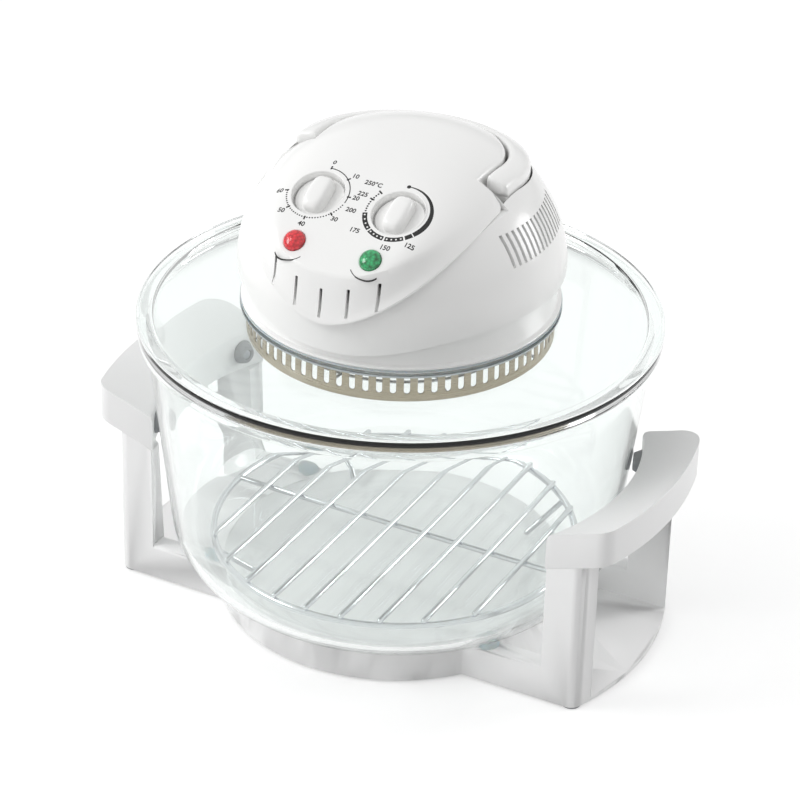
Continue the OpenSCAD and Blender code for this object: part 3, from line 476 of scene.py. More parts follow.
def coated(slot, name, hex_or_rgb, roughness, metallic=0.0, stretch=(1, 1, 1), rough=None, tones=None,
           relief=None, **sockets):
    """Makes a slot's finish with patterns on Object coordinates, stretched along each axis.

    rough is (pattern, least, most), tones is (pattern, first, second colour), relief is (pattern, depth).
    """
    MATERIALS[slot], tree, shader = coat(name, hex_or_rgb, roughness, metallic, **sockets)
    place = put(tree, "ShaderNodeTexCoord").outputs["Object"]
    at = put(tree, "ShaderNodeMapping", {"Vector": place, "Scale": [s / MM for s in stretch]}).outputs[0]
    used = dict.fromkeys(use[0] for use in (rough, tones, relief) if use)
    value = {kind: pattern(tree, at, *kind) for kind in used}
    if rough:
        level = put(tree, "ShaderNodeMapRange", {"Value": value[rough[0]], "From Min": 0.3, "From Max": 0.7,
                                                 "To Min": rough[1], "To Max": rough[2]})
        tree.links.new(level.outputs[0], shader.inputs["Roughness"])
    if tones:
        first, second = (linear(tone) if isinstance(tone, str) else tone for tone in tones[1:])
        mix = put(tree, "ShaderNodeMix", {"Factor": value[tones[0]], 6: (*first, 1), 7: (*second, 1)},
                  data_type="RGBA")
        tree.links.new(mix.outputs[2], shader.inputs["Base Color"])
    if relief:
        bump = put(tree, "ShaderNodeBump", {"Height": value[relief[0]], "Distance": relief[1] * MM,
                                            "Strength": 1.0})
        tree.links.new(bump.outputs[0], shader.inputs["Normal"])
    return tree, shader


def let_light_through(tree, shader):
    """Lets lamps shine through clear glass, and lets go of light that is caught inside its rims."""
    most_turns = 5.5
    seen = put(tree, "ShaderNodeLightPath").outputs
    caught = put(tree, "ShaderNodeMath", {0: seen["Ray Depth"], 1: most_turns}, operation="GREATER_THAN")
    through = put(tree, "ShaderNodeMath", {0: seen["Is Shadow Ray"], 1: caught.outputs[0]}, operation="MAXIMUM")
    clear = put(tree, "ShaderNodeBsdfTransparent")
    mix = put(tree, "ShaderNodeMixShader", {0: through.outputs[0], 1: shader.outputs[0], 2: clear.outputs[0]})
    output = next(node for node in tree.nodes if node.bl_idname == "ShaderNodeOutputMaterial")
    tree.links.new(mix.outputs[0], output.inputs["Surface"])


def make_materials():
    """Every finish of the oven by its slot, named for what it really is."""
    colours = bpy.context.scene.oven_colours

    # injection-moulded ABS from a polished tool: glossy, with a faint ripple in its reflections
    coated("head_plastic", "glossy_moulded_ABS", colours.head, 0.2, IOR=1.53,
           rough=(("grain", 22), 0.16, 0.24), relief=(("grain", 3.5), 0.006))

    # polypropylene from a fine spark-eroded tool: satin, an even grain of about half a millimetre,
    # drawn at one millimetre so that it shows
    coated("stand_plastic", "satin_moulded_polypropylene", colours.stand, 0.42, IOR=1.49,
           rough=(("grain", 30), 0.36, 0.48), relief=(("grain", 1.0), 0.012))

    # pressed borosilicate glass, fire polished: clear, slightly uneven walls
    let_light_through(*coated("glass", "pressed_borosilicate_glass", "#FAFDFC", 0.0, IOR=1.47,
                              Transmission_Weight=1.0, relief=(("grain", 45, 0), 0.05)))

    # stainless sheet, brushed round the ring and warmed by heat to a champagne tint
    brushed = ("grain", 1.2, 3)
    coated("guard_steel", "brushed_champagne_steel", colours.guard, 0.3, 1.0, (0.03, 0.03, 3),
           rough=(brushed, 0.22, 0.4), relief=(brushed, 0.01))

    # nickel-chrome plated wire: mirror bright with a slight waviness
    coated("chrome_wire", "chrome_plated_wire", "#DADCDE", 0.1, 1.0, relief=(("grain", 4), 0.02))

    # zinc-plated pressed steel: dull silver with a crystalline mottle
    coated("steel", "zinc_plated_steel", "#B4B7B9", 0.35, 1.0,
           rough=(("grain", 2.5), 0.28, 0.45), tones=(("grain", 9), "#A6AAAE", "#C0C3C5"))

    # rolled aluminium sheet: pale, softly brushed one way
    rolled = ("grain", 1.0, 3)
    coated("aluminium", "rolled_aluminium", "#D2D4D6", 0.3, 1.0, (0.05, 2, 2),
           rough=(rolled, 0.22, 0.42), relief=(rolled, 0.01))

    # translucent silicone rubber: matt, milky
    coated("silicone", "milky_silicone", "#E4E8E8", 0.5, IOR=1.41, Transmission_Weight=0.35,
           Subsurface_Weight=0.3, relief=(("grain", 0.8), 0.01))

    # moulded grey rubber: matt, finely grained
    coated("grey_rubber", "moulded_grey_rubber", "#8E9092", 0.62, IOR=1.5,
           tones=(("grain", 6), "#86888A", "#989A9C"), relief=(("grain", 0.6), 0.02))

    # fused quartz tube: clear, a little warm from the coil inside
    coated("quartz", "fused_quartz", "#F6EFE0", 0.03, IOR=1.46, Transmission_Weight=0.9,
           relief=(("grain", 12, 0), 0.02))

    # steatite ceramic: matt ivory, slightly speckled
    coated("ceramic", "steatite_ceramic", "#ECE6D8", 0.55, IOR=1.6,
           tones=(("grain", 1.5), "#E4DDCD", "#F1ECE0"), relief=(("grain", 0.7), 0.015))

    # needled mineral wool: fibrous and dull
    fibres = ("grain", 1.4, 4)
    coated("insulation", "needled_mineral_wool", "#DDD3BC", 0.95, 0.0, (1, 0.2, 2),
           tones=(fibres, "#C9BDA2", "#E9E1CE"), relief=(fibres, 0.4))

    # stacked electrical sheet of 0.5 mm, its dark edges drawn a millimetre apart so that they show
    sheets = ("layers", 0.98175, 0.3)
    coated("core_steel", "stacked_electrical_sheet", "#5C5F63", 0.45, 1.0,
           tones=(sheets, "#3E4145", "#777B80"), relief=(sheets, 0.1))

    # enamelled copper wire, wound in layers
    wound = ("layers", 1.0472, 0.6)
    coated("copper", "enamelled_copper_winding", "#B8683A", 0.28, 1.0,
           tones=(wound, "#8A4522", "#C97A48"), relief=(wound, 0.25))

    # sintered bronze: porous and dull
    coated("bronze", "sintered_bronze", "#A87F52", 0.5, 1.0, relief=(("grain", 0.5), 0.05))

    # plain moulded plastics of the parts inside
    for slot, name, dark, light in (("grey_plastic", "moulded_grey_nylon", "#B8B8B5", "#C6C6C3"),
                                    ("black_plastic", "moulded_black_phenolic", "#171717", "#222222"),
                                    ("red_plastic", "moulded_red_acetal", "#A31E18", "#B52A22")):
        coated(slot, name, light, 0.5, tones=(("grain", 8), dark, light), relief=(("grain", 0.8), 0.02))

    # clear coloured polycarbonate over a lamp: deep at its edge, and brighter and paler in the middle of small cells,
    # which is painted lamp glow, since the lamp behind gives no light
    cells = ("cells", 1.818)
    for slot, name, tint, deep, bright, painted_glow_tint in (
            ("red_lens", "clear_red_polycarbonate", colours.power, 0.411, 1.5, "#1D2B2C"),
            ("green_lens", "clear_green_polycarbonate", colours.heating, 0.467, 2.6, "#2F3349")):
        # painted glow: each tint made brighter and paler, as if the lamp behind were lit
        painted_lamp_glow = [min(1, c * bright + glow) for c, glow in zip(tint, linear(painted_glow_tint))]
        coated(slot, name, tint, 0.08, IOR=1.58, Coat_Weight=0.4,
               tones=(cells, painted_lamp_glow, [c * deep for c in tint]), relief=(cells, 0.15))

    # thin blown glass of the indicator lamps: clear, faintly amber
    coated("neon_glass", "neon_lamp_glass", "#F0C8A4", 0.05, IOR=1.5, Transmission_Weight=0.7,
           relief=(("grain", 2), 0.02))

    # pad-printed black ink: matt, with slightly uneven cover
    coated("ink", "pad_printed_ink", "#141414", 0.55, tones=(("grain", 1.2), "#0E0E0E", "#1E1E1E"))


def material(slot):
    """A slot's finish; the first call makes them all."""
    if not MATERIALS:
        make_materials()
    return MATERIALS[slot]


# ---------------------------------------------------------- the head's surfaces

DOME_A, DOME_B = 1.76, 2.76                      # roundness of the dome's crown and shoulder
AHEAD_A, AHEAD_B = 0.6, 3.5                      # how much squarer the cover is straight ahead
OUTLINE_N = 2.4                                  # squareness of the cover's outline
SHOULDER = 11                                    # roundness of the edge between panel and apron
FALL_Y, PANEL_FALL = -84, 0.38                   # where the panel turns down in front, and by how much
EDGE_R = 3                                       # roundness of the crown's edge
EAR_R = 4.5                                      # roundness of the ears' corners in plan
PART_LOW, PART_RISE = 1, 53                      # the parting line at the front, and its rise
LIP_W, LIP_MORE = 1.6, 7.6                       # width of the lip at the ears, and how much wider in front
LIP_SLOPE, FOLD_SLOPE = 0.85, 7.15               # slope of the lip, and of the fold over it beyond that
CROWN_FOOT = 45                                  # lower edge of the crown over the dome's widest level
CHANNEL_GAP = 1.5                                # between the crown and the handle
PIVOT_Y, PIVOT_UP = 2, 56                        # the handle's pivots, over the dome's widest level
CORE = (0.0, -30.0)                              # every point of the cover's outline is seen from here


def soft_min(a, b, k):
    """The smaller of two heights, with a corner rounded over k."""
    h = np.maximum(0, k - np.abs(a - b)) / k
    return np.minimum(a, b) - h * h * k / 4


def smooth_step_up(d, width):
    """Zero below d = 0 and d above it, with a rounded corner between."""
    return (d + np.sqrt(d * d + width * width)) / 2


def dome_level(s, r):
    """Height of the dome at a radius."""
    k = np.minimum(1, np.asarray(r, float) / s.dome_r)
    return s.dome_z + s.dome_h * (1 - k ** DOME_B) ** (1 / DOME_A)


def cover_level(s, x, y):
    """Height of the front cover's skin over a point in plan."""
    panel = s.dome_z + s.panel_h + (y - s.panel_y) * tan(s.panel_tilt)
    panel = panel - PANEL_FALL * smooth_step_up(FALL_Y - y, 4)
    squash = s.dome_r / (s.visor_reach - s.ear_y + 2.5)
    ys = np.where(y < 0, y * squash, y)
    r = np.maximum(np.hypot(x, ys), 1e-9)
    ahead = np.where(y < 0, (ys / r) ** 6, 0)
    a, b = DOME_A + AHEAD_A * ahead, DOME_B + AHEAD_B * ahead
    k = np.minimum(1, r / s.dome_r)
    return soft_min(s.dome_z + s.dome_h * np.maximum(0, 1 - k ** b) ** (1 / a), panel, SHOULDER)


def part_level(s, y):
    """Height of the parting line between cover and housing."""
    t = np.clip((s.ear_y - y) / s.visor_reach, 0, 1)
    return s.dome_z + PART_LOW + PART_RISE * (1 - t ** 1.7) ** 0.7


def cover_skin(s, x, y):
    """Height of the whole front cover: its skin, rolled down to the lip along its edge."""
    t = np.clip((s.ear_y - y) / s.visor_reach, 0, 0.9999)
    u = np.abs(x) / s.visor_w
    g = np.maximum((u ** OUTLINE_N + t ** OUTLINE_N) ** (1 / OUTLINE_N), 1e-6)
    slope = np.hypot((u / g) ** (OUTLINE_N - 1) / s.visor_w, (t / g) ** (OUTLINE_N - 1) / s.visor_reach)
    away = np.maximum(0, (1 - g) / slope)        # distance in from the outline
    wide = LIP_W + LIP_MORE * (1 - t * t) ** 1.4
    lip = part_level(s, y) + 0.8 + LIP_SLOPE * away + FOLD_SLOPE * smooth_step_up(away - wide, 0.3 * wide)
    edge = np.where(y < s.crown_y, s.crown_w - np.abs(x), s.crown_w - np.hypot(x, y - s.crown_y))
    edge = np.maximum(0, edge)
    roll = EDGE_R - np.sqrt(EDGE_R ** 2 - np.maximum(0, EDGE_R - edge) ** 2)
    skin = cover_level(s, x, y)
    crown = np.minimum(skin - roll, s.dome_z + CROWN_FOOT + 0.8 + 120 * edge)
    return np.where(y < s.ear_y, soft_min(skin, lip, 4), crown)


def dome_profile(s, shrink, low):
    """Half section of the dome down to a level, moved inwards by shrink."""
    steps = 64
    rise = [(i / steps) ** 0.8 for i in range(steps + 1)]
    side = [((s.dome_r - shrink) * (1 - k ** DOME_A) ** (1 / DOME_B), s.dome_z + (s.dome_h - shrink) * k)
            for k in rise]
    return [(0, low), (s.dome_r - shrink - 0.8, low)] + side


def panel_place(s, side):
    """The frame of a dial on the control panel, Z along its normal."""
    spot = (side * s.dial_pitch / 2, s.panel_y, s.dome_z + s.panel_h)
    return Matrix.Translation(spot) @ Matrix.Rotation(s.panel_tilt, 4, "X")


def lens_place(s, side):
    """The frame of a lamp lens on the panel's foot, Z along the skin's normal."""
    x, y = side * (s.dial_pitch / 2 - 1.5), s.panel_y - s.lens_drop * cos(s.panel_tilt)
    low, mid, high = (float(cover_level(s, np.array(x), np.array(y + step))) for step in (-4, 0, 4))
    return Matrix.Translation((x, y, mid - 0.1)) @ Matrix.Rotation(atan2(high - low, 8), 4, "X")


def cover_outline(s):
    """Plan outline of the front cover, about a millimetre between points."""
    angles = [pi * i / 260 for i in range(261)]
    front = [(s.visor_w * bend(cos(a), 2 / OUTLINE_N), s.ear_y - s.visor_reach * bend(sin(a), 2 / OUTLINE_N))
             for a in angles]
    front = [point for point in front if point[1] < s.ear_y - EAR_R - 0.4]
    corner = arc(s.visor_w - EAR_R, s.ear_y - EAR_R, EAR_R, 0, 90, 6)
    ear = [(x, s.ear_y) for x in np.linspace(s.visor_w - EAR_R - 1, s.crown_w + 0.5, 12)]
    side = [(s.crown_w, y) for y in np.linspace(s.ear_y + 0.6, s.crown_y, 24)[:-1]]
    right = corner + ear + side
    back = arc(0, s.crown_y, s.crown_w, 0, 180, 150)
    return front + [(-x, y) for x, y in right] + back[::-1] + right[::-1]


def cover_body(s):
    """The front cover as a closed skin, laid over rings that shrink from its outline."""
    outline, core = np.array(cover_outline(s), float), np.array(CORE)
    reach = np.linalg.norm(outline - core, axis=1)
    near = [0, 0.25, 0.5, 0.8, 1.2, 1.6, 2.1, 2.7, 3.4, 4.2, 5.1, 6.1, 7.2, 8.4, 9.6, 10.8, 12, 13.3, 14.8, 16.5]
    shares = [1 - d / reach for d in near]
    shares += [shares[-1] * (1 - i / 26) for i in range(1, 26)]
    top, low, step = [], [], 0.2
    for share in shares:
        ring = core + (outline - core) * share[:, None]
        x, y = ring.T
        z = cover_skin(s, x, y)
        dx = (cover_skin(s, x + step, y) - cover_skin(s, x - step, y)) / (2 * step)
        dy = (cover_skin(s, x, y + step) - cover_skin(s, x, y - step)) / (2 * step)
        wall = np.minimum(2.5 * np.sqrt(1 + dx * dx + dy * dy), 14)
        foot = np.where(y < s.ear_y, part_level(s, y), s.dome_z + CROWN_FOOT)
        top.append(np.column_stack([ring, z]))
        low.append(np.column_stack([ring, np.maximum(z - wall, foot)]))
    n, rings = len(outline), len(shares)
    centre_z = float(cover_skin(s, np.array([core[0]]), np.array([core[1]]))[0])
    verts = np.concatenate(top + low).tolist() + [(*core, centre_z), (*core, centre_z - 3)]
    half, last = n * rings, n * (rings - 1)
    faces = ring_faces(rings, n) + [[half + i for i in face[::-1]] for face in ring_faces(rings, n)]
    for i in range(n):
        j = (i + 1) % n
        faces += [(last + i, last + j, 2 * half), (half + last + j, half + last + i, 2 * half + 1),
                  (j, i, half + i, half + j)]
    return solid("cover_skin", verts, faces)


def rounded_hole(place, radius, depth, floor):
    """The ring or cup that lines a hole in the panel, its mouth rolled over."""
    roll, flange = 0.6, 2 if floor else 0.8
    inside = [(radius, -depth + 0.8), (radius - 0.3, -depth + 0.2), (radius - 0.9, -depth)]
    foot = [(3.6, -depth), (3.6, -depth - flange)] if floor else [(radius - 0.9, -depth - flange)]
    outside = [(radius + 2, -depth - flange), (radius + 2, -3.4), (radius + roll, -3)]
    mouth = arc(radius + roll, -roll, roll, 90, 180, 6)
    return turned("lining", mouth + inside + foot + outside, 96, place)


def apron_slots(s):
    """Cutters of the upright slots in the apron, which follow the lip's curve."""
    pitch, half, tall, r, cutters = 17.2, 0.95, 18, 0.5, []
    for i in range(s.front_slots):
        at = i - (s.front_slots - 1) / 2
        x = at * pitch
        front = s.ear_y - s.visor_reach * (1 - (abs(x) / s.visor_w) ** OUTLINE_N) ** (1 / OUTLINE_N)
        low = float(part_level(s, np.array(front))) + 3.6 - 0.6 * at ** 2
        high = min(low + tall, float(cover_level(s, np.array(x), np.array(front + 3))) - 3.5)
        left, right = x - half + r, x + half - r
        outline = (arc(left, low + r, r, 180, 270, 4) + arc(right, low + r, r, 270, 360, 4)
                   + arc(right, high - r, r, 0, 90, 4) + arc(left, high - r, r, 90, 180, 4))
        cutters.append(prism("slot", outline, -130, -70, "Y"))
    return joined("slots", *cutters)


def channel(s, wall):
    """The space that the handle lies in, grown by a wall."""
    pivot_z, front, gap = s.dome_z + PIVOT_UP, s.ear_y + 0.5 - wall, 0.5
    inner, outer = s.crown_w + 0.4, s.crown_w + CHANNEL_GAP + s.handle_w + 1.2 + wall
    plan = ([(outer, front)] + arc(0, s.crown_y, outer, 0, 180, 96) + [(-outer, front), (-inner, front)]
            + arc(0, s.crown_y, inner, 180, 0, 96) + [(inner, front)])
    body = prism("channel", plan, pivot_z - 20, pivot_z + 40)
    carve(body, turned("floor", [(r, z - s.handle_t - gap - wall) for r, z in dome_profile(s, 0, s.dome_z - 40)], 160))
    for side in (-1, 1):
        x0, x1 = sorted((side * inner, side * outer))
        carve(body, block("pocket", (x0, front, pivot_z - 9 - wall), (x1, 11 + wall, pivot_z + 31)), "UNION")
    return body


# ---------------------------------------------------------- operators

class OVEN_OT_stage(bpy.types.Operator):
    """Camera, lamps and the pale floor"""
    bl_idname = "oven.stage"
    bl_label = "Stage"

    def execute(self, context):
        scene = context.scene
        scene.view_settings.view_transform = "Standard"
        self.camera(scene)
        self.floor()
        self.lamps()
        self.surroundings(scene)
        return {"FINISHED"}

    def camera(self, scene):
        """The photo's view: focal length and centre in pixels of a square image, distance in millimetres."""
        azimuth, elevation, roll = (radians(a) for a in (27.03, 30.2, 1.59))
        focal, distance, at_x, at_y, image, sensor = 3200, 2012.6, 397.6, 424.77, 800, 36
        forward = Vector((-sin(azimuth) * cos(elevation), cos(azimuth) * cos(elevation), -sin(elevation)))
        right = Vector((cos(azimuth), sin(azimuth), 0))
        up = right.cross(forward)
        across, upward = right * cos(roll) + up * sin(roll), up * cos(roll) - right * sin(roll)
        camera = new_object("camera", bpy.data.cameras.new("camera"))
        camera.matrix_world = Matrix((across, upward, -forward)).transposed().to_4x4()
        camera.location = (Vector((0, 0, 120)) - forward * distance) * MM
        camera.data.sensor_width, camera.data.lens = sensor, focal * sensor / image
        camera.data.shift_x, camera.data.shift_y = (image / 2 - at_x) / image, (at_y - image / 2) / image
        camera.data.clip_end = 50
        scene.camera = camera

    def floor(self):
        """A wide pale sheet that keeps the oven's shadow, and glows where it is looked at."""
        size, glow = 3500, 0.46
        obj = solid("floor", [(-size, -size, 0), (size, -size, 0), (size, size, 0), (-size, size, 0)], [(0, 1, 2, 3)])
        sheet, tree, shader = coat("white_paper_sweep", "#CECECE", 0.9)
        seen = put(tree, "ShaderNodeLightPath").outputs
        shown = seen["Is Camera Ray"]
        for ray in ("Is Transmission Ray", "Is Glossy Ray"):
            shown = put(tree, "ShaderNodeMath", {0: shown, 1: seen[ray]}, operation="MAXIMUM").outputs[0]
        level = put(tree, "ShaderNodeMath", {0: shown, 1: glow}, operation="MULTIPLY")
        shader.inputs["Emission Color"].default_value = (1, 1, 1, 1)
        tree.links.new(level.outputs[0], shader.inputs["Emission Strength"])
        obj.data.materials.append(sheet)

    def lamps(self):
        """A large soft key from the upper left, and another lamp behind the right side."""
        for name, spot, power in (("key", (-1100, -750, 1100), 6.5), ("rim", (1250, 1150, 600), 7)):
            lamp = bpy.data.lights.new(name, "AREA")
            lamp.shape, lamp.size, lamp.energy = "DISK", 700 * MM, power
            obj = new_object(name, lamp)
            obj.location = Vector(spot) * MM
            obj.rotation_euler = (Vector((0, 0, 150 * MM)) - obj.location).to_track_quat("-Z", "Y").to_euler()

    def surroundings(self, scene):
        """White all round for the eye, with a darker band at the horizon that glass edges pick up."""
        scene.world = world = bpy.data.worlds.new("studio")
        world.use_nodes = True
        tree = world.node_tree
        tree.nodes.clear()
        way = put(tree, "ShaderNodeTexCoord").outputs["Generated"]
        height = put(tree, "ShaderNodeSeparateXYZ", {0: way}).outputs["Z"]
        band = put(tree, "ShaderNodeValToRGB", {"Fac": height})
        ramp = band.color_ramp
        for i, (spot, level) in enumerate([(0.0, 0.9), (0.03, 0.5), (0.11, 0.5), (0.2, 0.95), (1.0, 1.0)]):
            stop = ramp.elements[i] if i < 2 else ramp.elements.new(spot)
            stop.position, stop.color = spot, (level, level, level, 1)
        seen = put(tree, "ShaderNodeLightPath").outputs
        glossy = put(tree, "ShaderNodeMath", {0: seen["Is Glossy Ray"], 1: seen["Is Transmission Ray"]},
                     operation="MAXIMUM")
        glossy = put(tree, "ShaderNodeMath", {0: glossy.outputs[0], 1: seen["Diffuse Depth"]},
                     operation="SUBTRACT", use_clamp=True)
        # soft light on the surfaces: bright from the upper left, dim from the right, bright again behind it
        soft = []
        for toward, start, end, dim, bright in (((-0.82, -0.5, 0.28), -0.3, 0.9, 0.06, 1.32),
                                                ((0.75, 0.6, 0.28), 0.3, 1.0, 0.0, 1.1)):
            facing = put(tree, "ShaderNodeVectorMath", {0: way, 1: toward}, operation="DOT_PRODUCT")
            soft.append(put(tree, "ShaderNodeMapRange", {
                "Value": facing.outputs["Value"], "From Min": start, "From Max": end,
                "To Min": dim, "To Max": bright}).outputs[0])
        soft = put(tree, "ShaderNodeMath", {0: soft[0], 1: soft[1]}, operation="MAXIMUM")
        white = (1, 1, 1, 1)
        sky = [put(tree, "ShaderNodeBackground", {"Color": tint, "Strength": strength}).outputs[0]
               for tint, strength in ((white, soft.outputs[0]), (band.outputs[0], 1.0), (white, 1.0))]
        mix = put(tree, "ShaderNodeMixShader", {0: glossy.outputs[0], 1: sky[0], 2: sky[1]})
        mix = put(tree, "ShaderNodeMixShader", {0: seen["Is Camera Ray"], 1: mix.outputs[0], 2: sky[2]})
        put(tree, "ShaderNodeOutputWorld", {"Surface": mix.outputs[0]})


class OVEN_OT_glass(bpy.types.Operator):
    """Glass bowl and glass lid"""
    bl_idname = "oven.glass"
    bl_label = "Glass"

    def execute(self, context):
        g = sizes("glass")
        rim_z, clearance, turns = g.bowl_z + g.bowl_h, 0.3, 224
        neck_z = rim_z - 7.5

        bead = 1.8                               # roundness of the rim's outer edges
        profile = ([(0, g.bowl_z)] + self.side(g, 0, neck_z) + [(g.rim_r - 1.5, neck_z + 1)]
                   + arc(g.rim_r - bead, neck_z + 1 + bead, bead, -60, 0, 6)
                   + arc(g.rim_r - bead, rim_z - bead, bead, 0, 90, 8)
                   + arc(g.neck_r - g.wall + 2.5, rim_z - 2.5, 2.5, 90, 180, 6)
                   + self.side(g, -g.wall, neck_z)[::-1] + [(0, g.bowl_z + g.wall)])
        finish(turned("glass_bowl", profile, turns), material("glass"), "bowl", 60)

        low_z, out_r, bead, steps = rim_z + clearance, g.rim_r + 1, 1.7, 24
        top_z, in_r = low_z + g.lid_rim_h, out_r - g.lid_rim_w
        top = [(in_r + (g.lid_hole_r - in_r) * k, top_z - g.lid_rim_h / 3 + g.lid_rise * (1 - (1 - k) ** 1.8))
               for k in (i / steps for i in range(steps + 1))]
        profile = (arc(out_r - bead, low_z + bead, bead, -90, 0, 8) + arc(out_r - bead, top_z - bead, bead, 0, 90, 8)
                   + arc(in_r + bead, top_z - bead, bead, 90, 150, 6) + top
                   + [(r + (i == 0), z - g.wall) for i, (r, z) in enumerate(top)][::-1])
        finish(turned("glass_lid_disc", profile, turns), material("glass"), "glass_lid", 60)
        return {"FINISHED"}

    def side(self, g, grow, neck_z):
        """The bottom curve up to where it has the wall's slope, and the straight wall."""
        across, high, turn, wall_z = g.low_r - g.foot_r + grow, g.curve_h + grow, 1.45, g.bowl_z + g.curve_h
        for _ in range(12):                      # closes in on the angle where the wall leaves the curve
            r, z = g.foot_r + across * sin(turn), wall_z - high * cos(turn)
            turn = atan2(across, high * (g.neck_r + grow - r) / (neck_z - z))
        low = [(g.foot_r + across * sin(a), wall_z - high * cos(a)) for a in (turn * i / 28 for i in range(29))]
        r, z = low[-1]
        return low + [(r + (g.neck_r + grow - r) * k, z + (neck_z - z) * k) for k in (i / 12 for i in range(1, 13))]


class OVEN_OT_stand(bpy.types.Operator):
    """Stand, side grips, bumpers, pads and feet"""
    bl_idname = "oven.stand"
    bl_label = "Stand"

    def execute(self, context):
        clear = partial(clear_of_bowl, sizes("glass"))
        welded_copy("stand_base", material("stand_plastic"), 2.6, 4, clear)
        for side, node in ((-1, "left_grip"), (1, "right_grip")):
            welded_copy(node, material("stand_plastic"), 3, 4, trim=grip_corner(side))
        welded_copy("bumpers", material("grey_rubber"), 0.5, move=clear)
        welded_copy("bumper_screws", material("steel"), 0.2, move=clear)
        welded_copy("bowl_pads", material("silicone"), 0.5, move=clear)
        welded_copy("feet", material("grey_rubber"), 0.3)
        return {"FINISHED"}


class OVEN_OT_rack(bpy.types.Operator):
    """Chrome wire rack on the bowl's floor"""
    bl_idname = "oven.rack"
    bl_label = "Rack"

    def execute(self, context):
        g, m = sizes("glass"), sizes("metal")
        floor_z = g.bowl_z + g.wall + 0.3
        deck, ring_r, weld, pitch, count = floor_z + m.rack_h, m.wire_r + 0.4, 0.4, 23, 4
        ring = [(x, y, deck) for x, y in arc(0, 0, m.rack_r, 0, 360, 160)[:-1]]
        parts = [wire("ring", ring, ring_r, 16, closed=True)]
        along = (-1, -0.5, 0, 0.5, 1)
        for x in (i * pitch for i in range(-count, count + 1)):
            half, z = sqrt(m.rack_r ** 2 - x * x), deck + ring_r + m.wire_r - weld
            parts.append(wire("bar", [(x, half * k, z) for k in along], m.wire_r))
        parts.append(wire("brace", [(m.rack_r * k, 0, deck + ring_r - m.wire_r) for k in along], m.wire_r))
        foot = g.foot_r - 4
        for c, k in arc(0, 0, 1, 45, 315, 3):
            parts.append(wire("leg", [(foot * c, foot * k, floor_z + m.wire_r), (m.rack_r * c, m.rack_r * k, deck)],
                              m.wire_r))
        finish(joined("wire_rack", *parts), material("chrome_wire"), "low_rack", 50)
        return {"FINISHED"}


class OVEN_OT_housing(bpy.types.Operator):
    """Domed housing with its vents and the handle's channel, and the collar under it"""
    bl_idname = "oven.housing"
    bl_label = "Housing"

    def execute(self, context):
        s = sizes("head")
        skirt_z, seam, wall = s.dome_z - s.skirt_h, 16.2, 2
        shell = turned("housing_shell", dome_profile(s, 0, skirt_z))
        carve(shell, turned("hollow", dome_profile(s, s.shell_t, skirt_z - 1)))
        trough = channel(s, wall)
        carve(trough, turned("inside", dome_profile(s, 0.5, skirt_z)), "INTERSECT")
        carve(shell, trough, "UNION")
        ys = [s.ear_y + 0.3 - s.visor_reach * i / 60 for i in range(61)]
        line = [(y, float(part_level(s, np.array(y))) - 0.2) for y in ys]
        line += [(-130, s.dome_z + 0.8), (-130, 360), (s.ear_y + 0.3, 360)]
        carve(shell, prism("above_the_parting", line, -120, 120, "X"))
        w, foot = s.crown_w + 0.4, s.dome_z + CROWN_FOOT - 0.4
        crown = [(w, s.ear_y)] + arc(0, s.crown_y, w, 0, 180, 96) + [(-w, s.ear_y)]
        carve(shell, prism("crown", crown, foot, s.dome_z + 105))
        carve(shell, channel(s, 0))
        carve(shell, block("ear_slit", (-s.visor_w, s.ear_y - 0.2, foot), (s.visor_w, s.ear_y + 0.4, 330)))
        ys = [-105 + 210 * i / 60 for i in range(61)]
        sweep = [(y, skirt_z + seam - seam * min(1, abs(y) / 100) ** 4) for y in ys]
        carve(shell, prism("under", [(-130, 150)] + sweep + [(130, 150)], -120, 120, "X"))
        low_z, tall, first = s.dome_z + 27, 18.5, -30
        for side in (-1, 1):
            x0, x1 = sorted((side * 60, side * 120))
            vent = block("vent", (x0, first - s.vent_w / 2, low_z), (x1, first + s.vent_w / 2, low_z + tall))
            carve(shell, repeated("vents", vent, s.vent_count, material("head_plastic"), shift=(0, s.vent_pitch, 0)))
        self.plunger_hole(s, shell)
        finish(shell, material("head_plastic"), "housing", 28)
        shell.name = "housing_dome"
        welded_copy("collar", material("head_plastic"), 0.3)
        return {"FINISHED"}

    def plunger_hole(self, s, shell):
        """Opens the channel's floor where the safety switch's plunger comes up."""
        low, high = (Vector(corner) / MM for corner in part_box("switch_plunger"))
        r, tall = (high.x - low.x) / 2 + 0.5, 30
        spot = ((low.x + high.x) / 2, (low.y + high.y) / 2, s.dome_z + PIVOT_UP - 25)
        carve(shell, turned("hole", [(0, 0), (r, 0), (r, tall), (0, tall)], 32, Matrix.Translation(spot)))


class OVEN_OT_front_cover(bpy.types.Operator):
    """Front cover: crown, panel, apron and lip, with its recesses and slots"""
    bl_idname = "oven.front_cover"
    bl_label = "Front cover"

    def execute(self, context):
        s = sizes("head")
        skin, linings = cover_body(s), []
        for side in (-1, 1):
            for place, radius, depth, floor in ((panel_place(s, side), s.knob_r + s.cup_gap, s.cup_depth, True),
                                                (lens_place(s, side), s.lens_r + 0.12, 3.2, False)):
                drill = [(0, -20), (radius + 0.6, -20), (radius + 0.6, 14), (0, 14)]
                carve(skin, turned("drill", drill, 96, place))
                linings.append(rounded_hole(place, radius, depth, floor))
        carve(skin, apron_slots(s))
        finish(joined("front_cover_shell", skin, *linings), material("head_plastic"), "front_cover", 30)
        return {"FINISHED"}


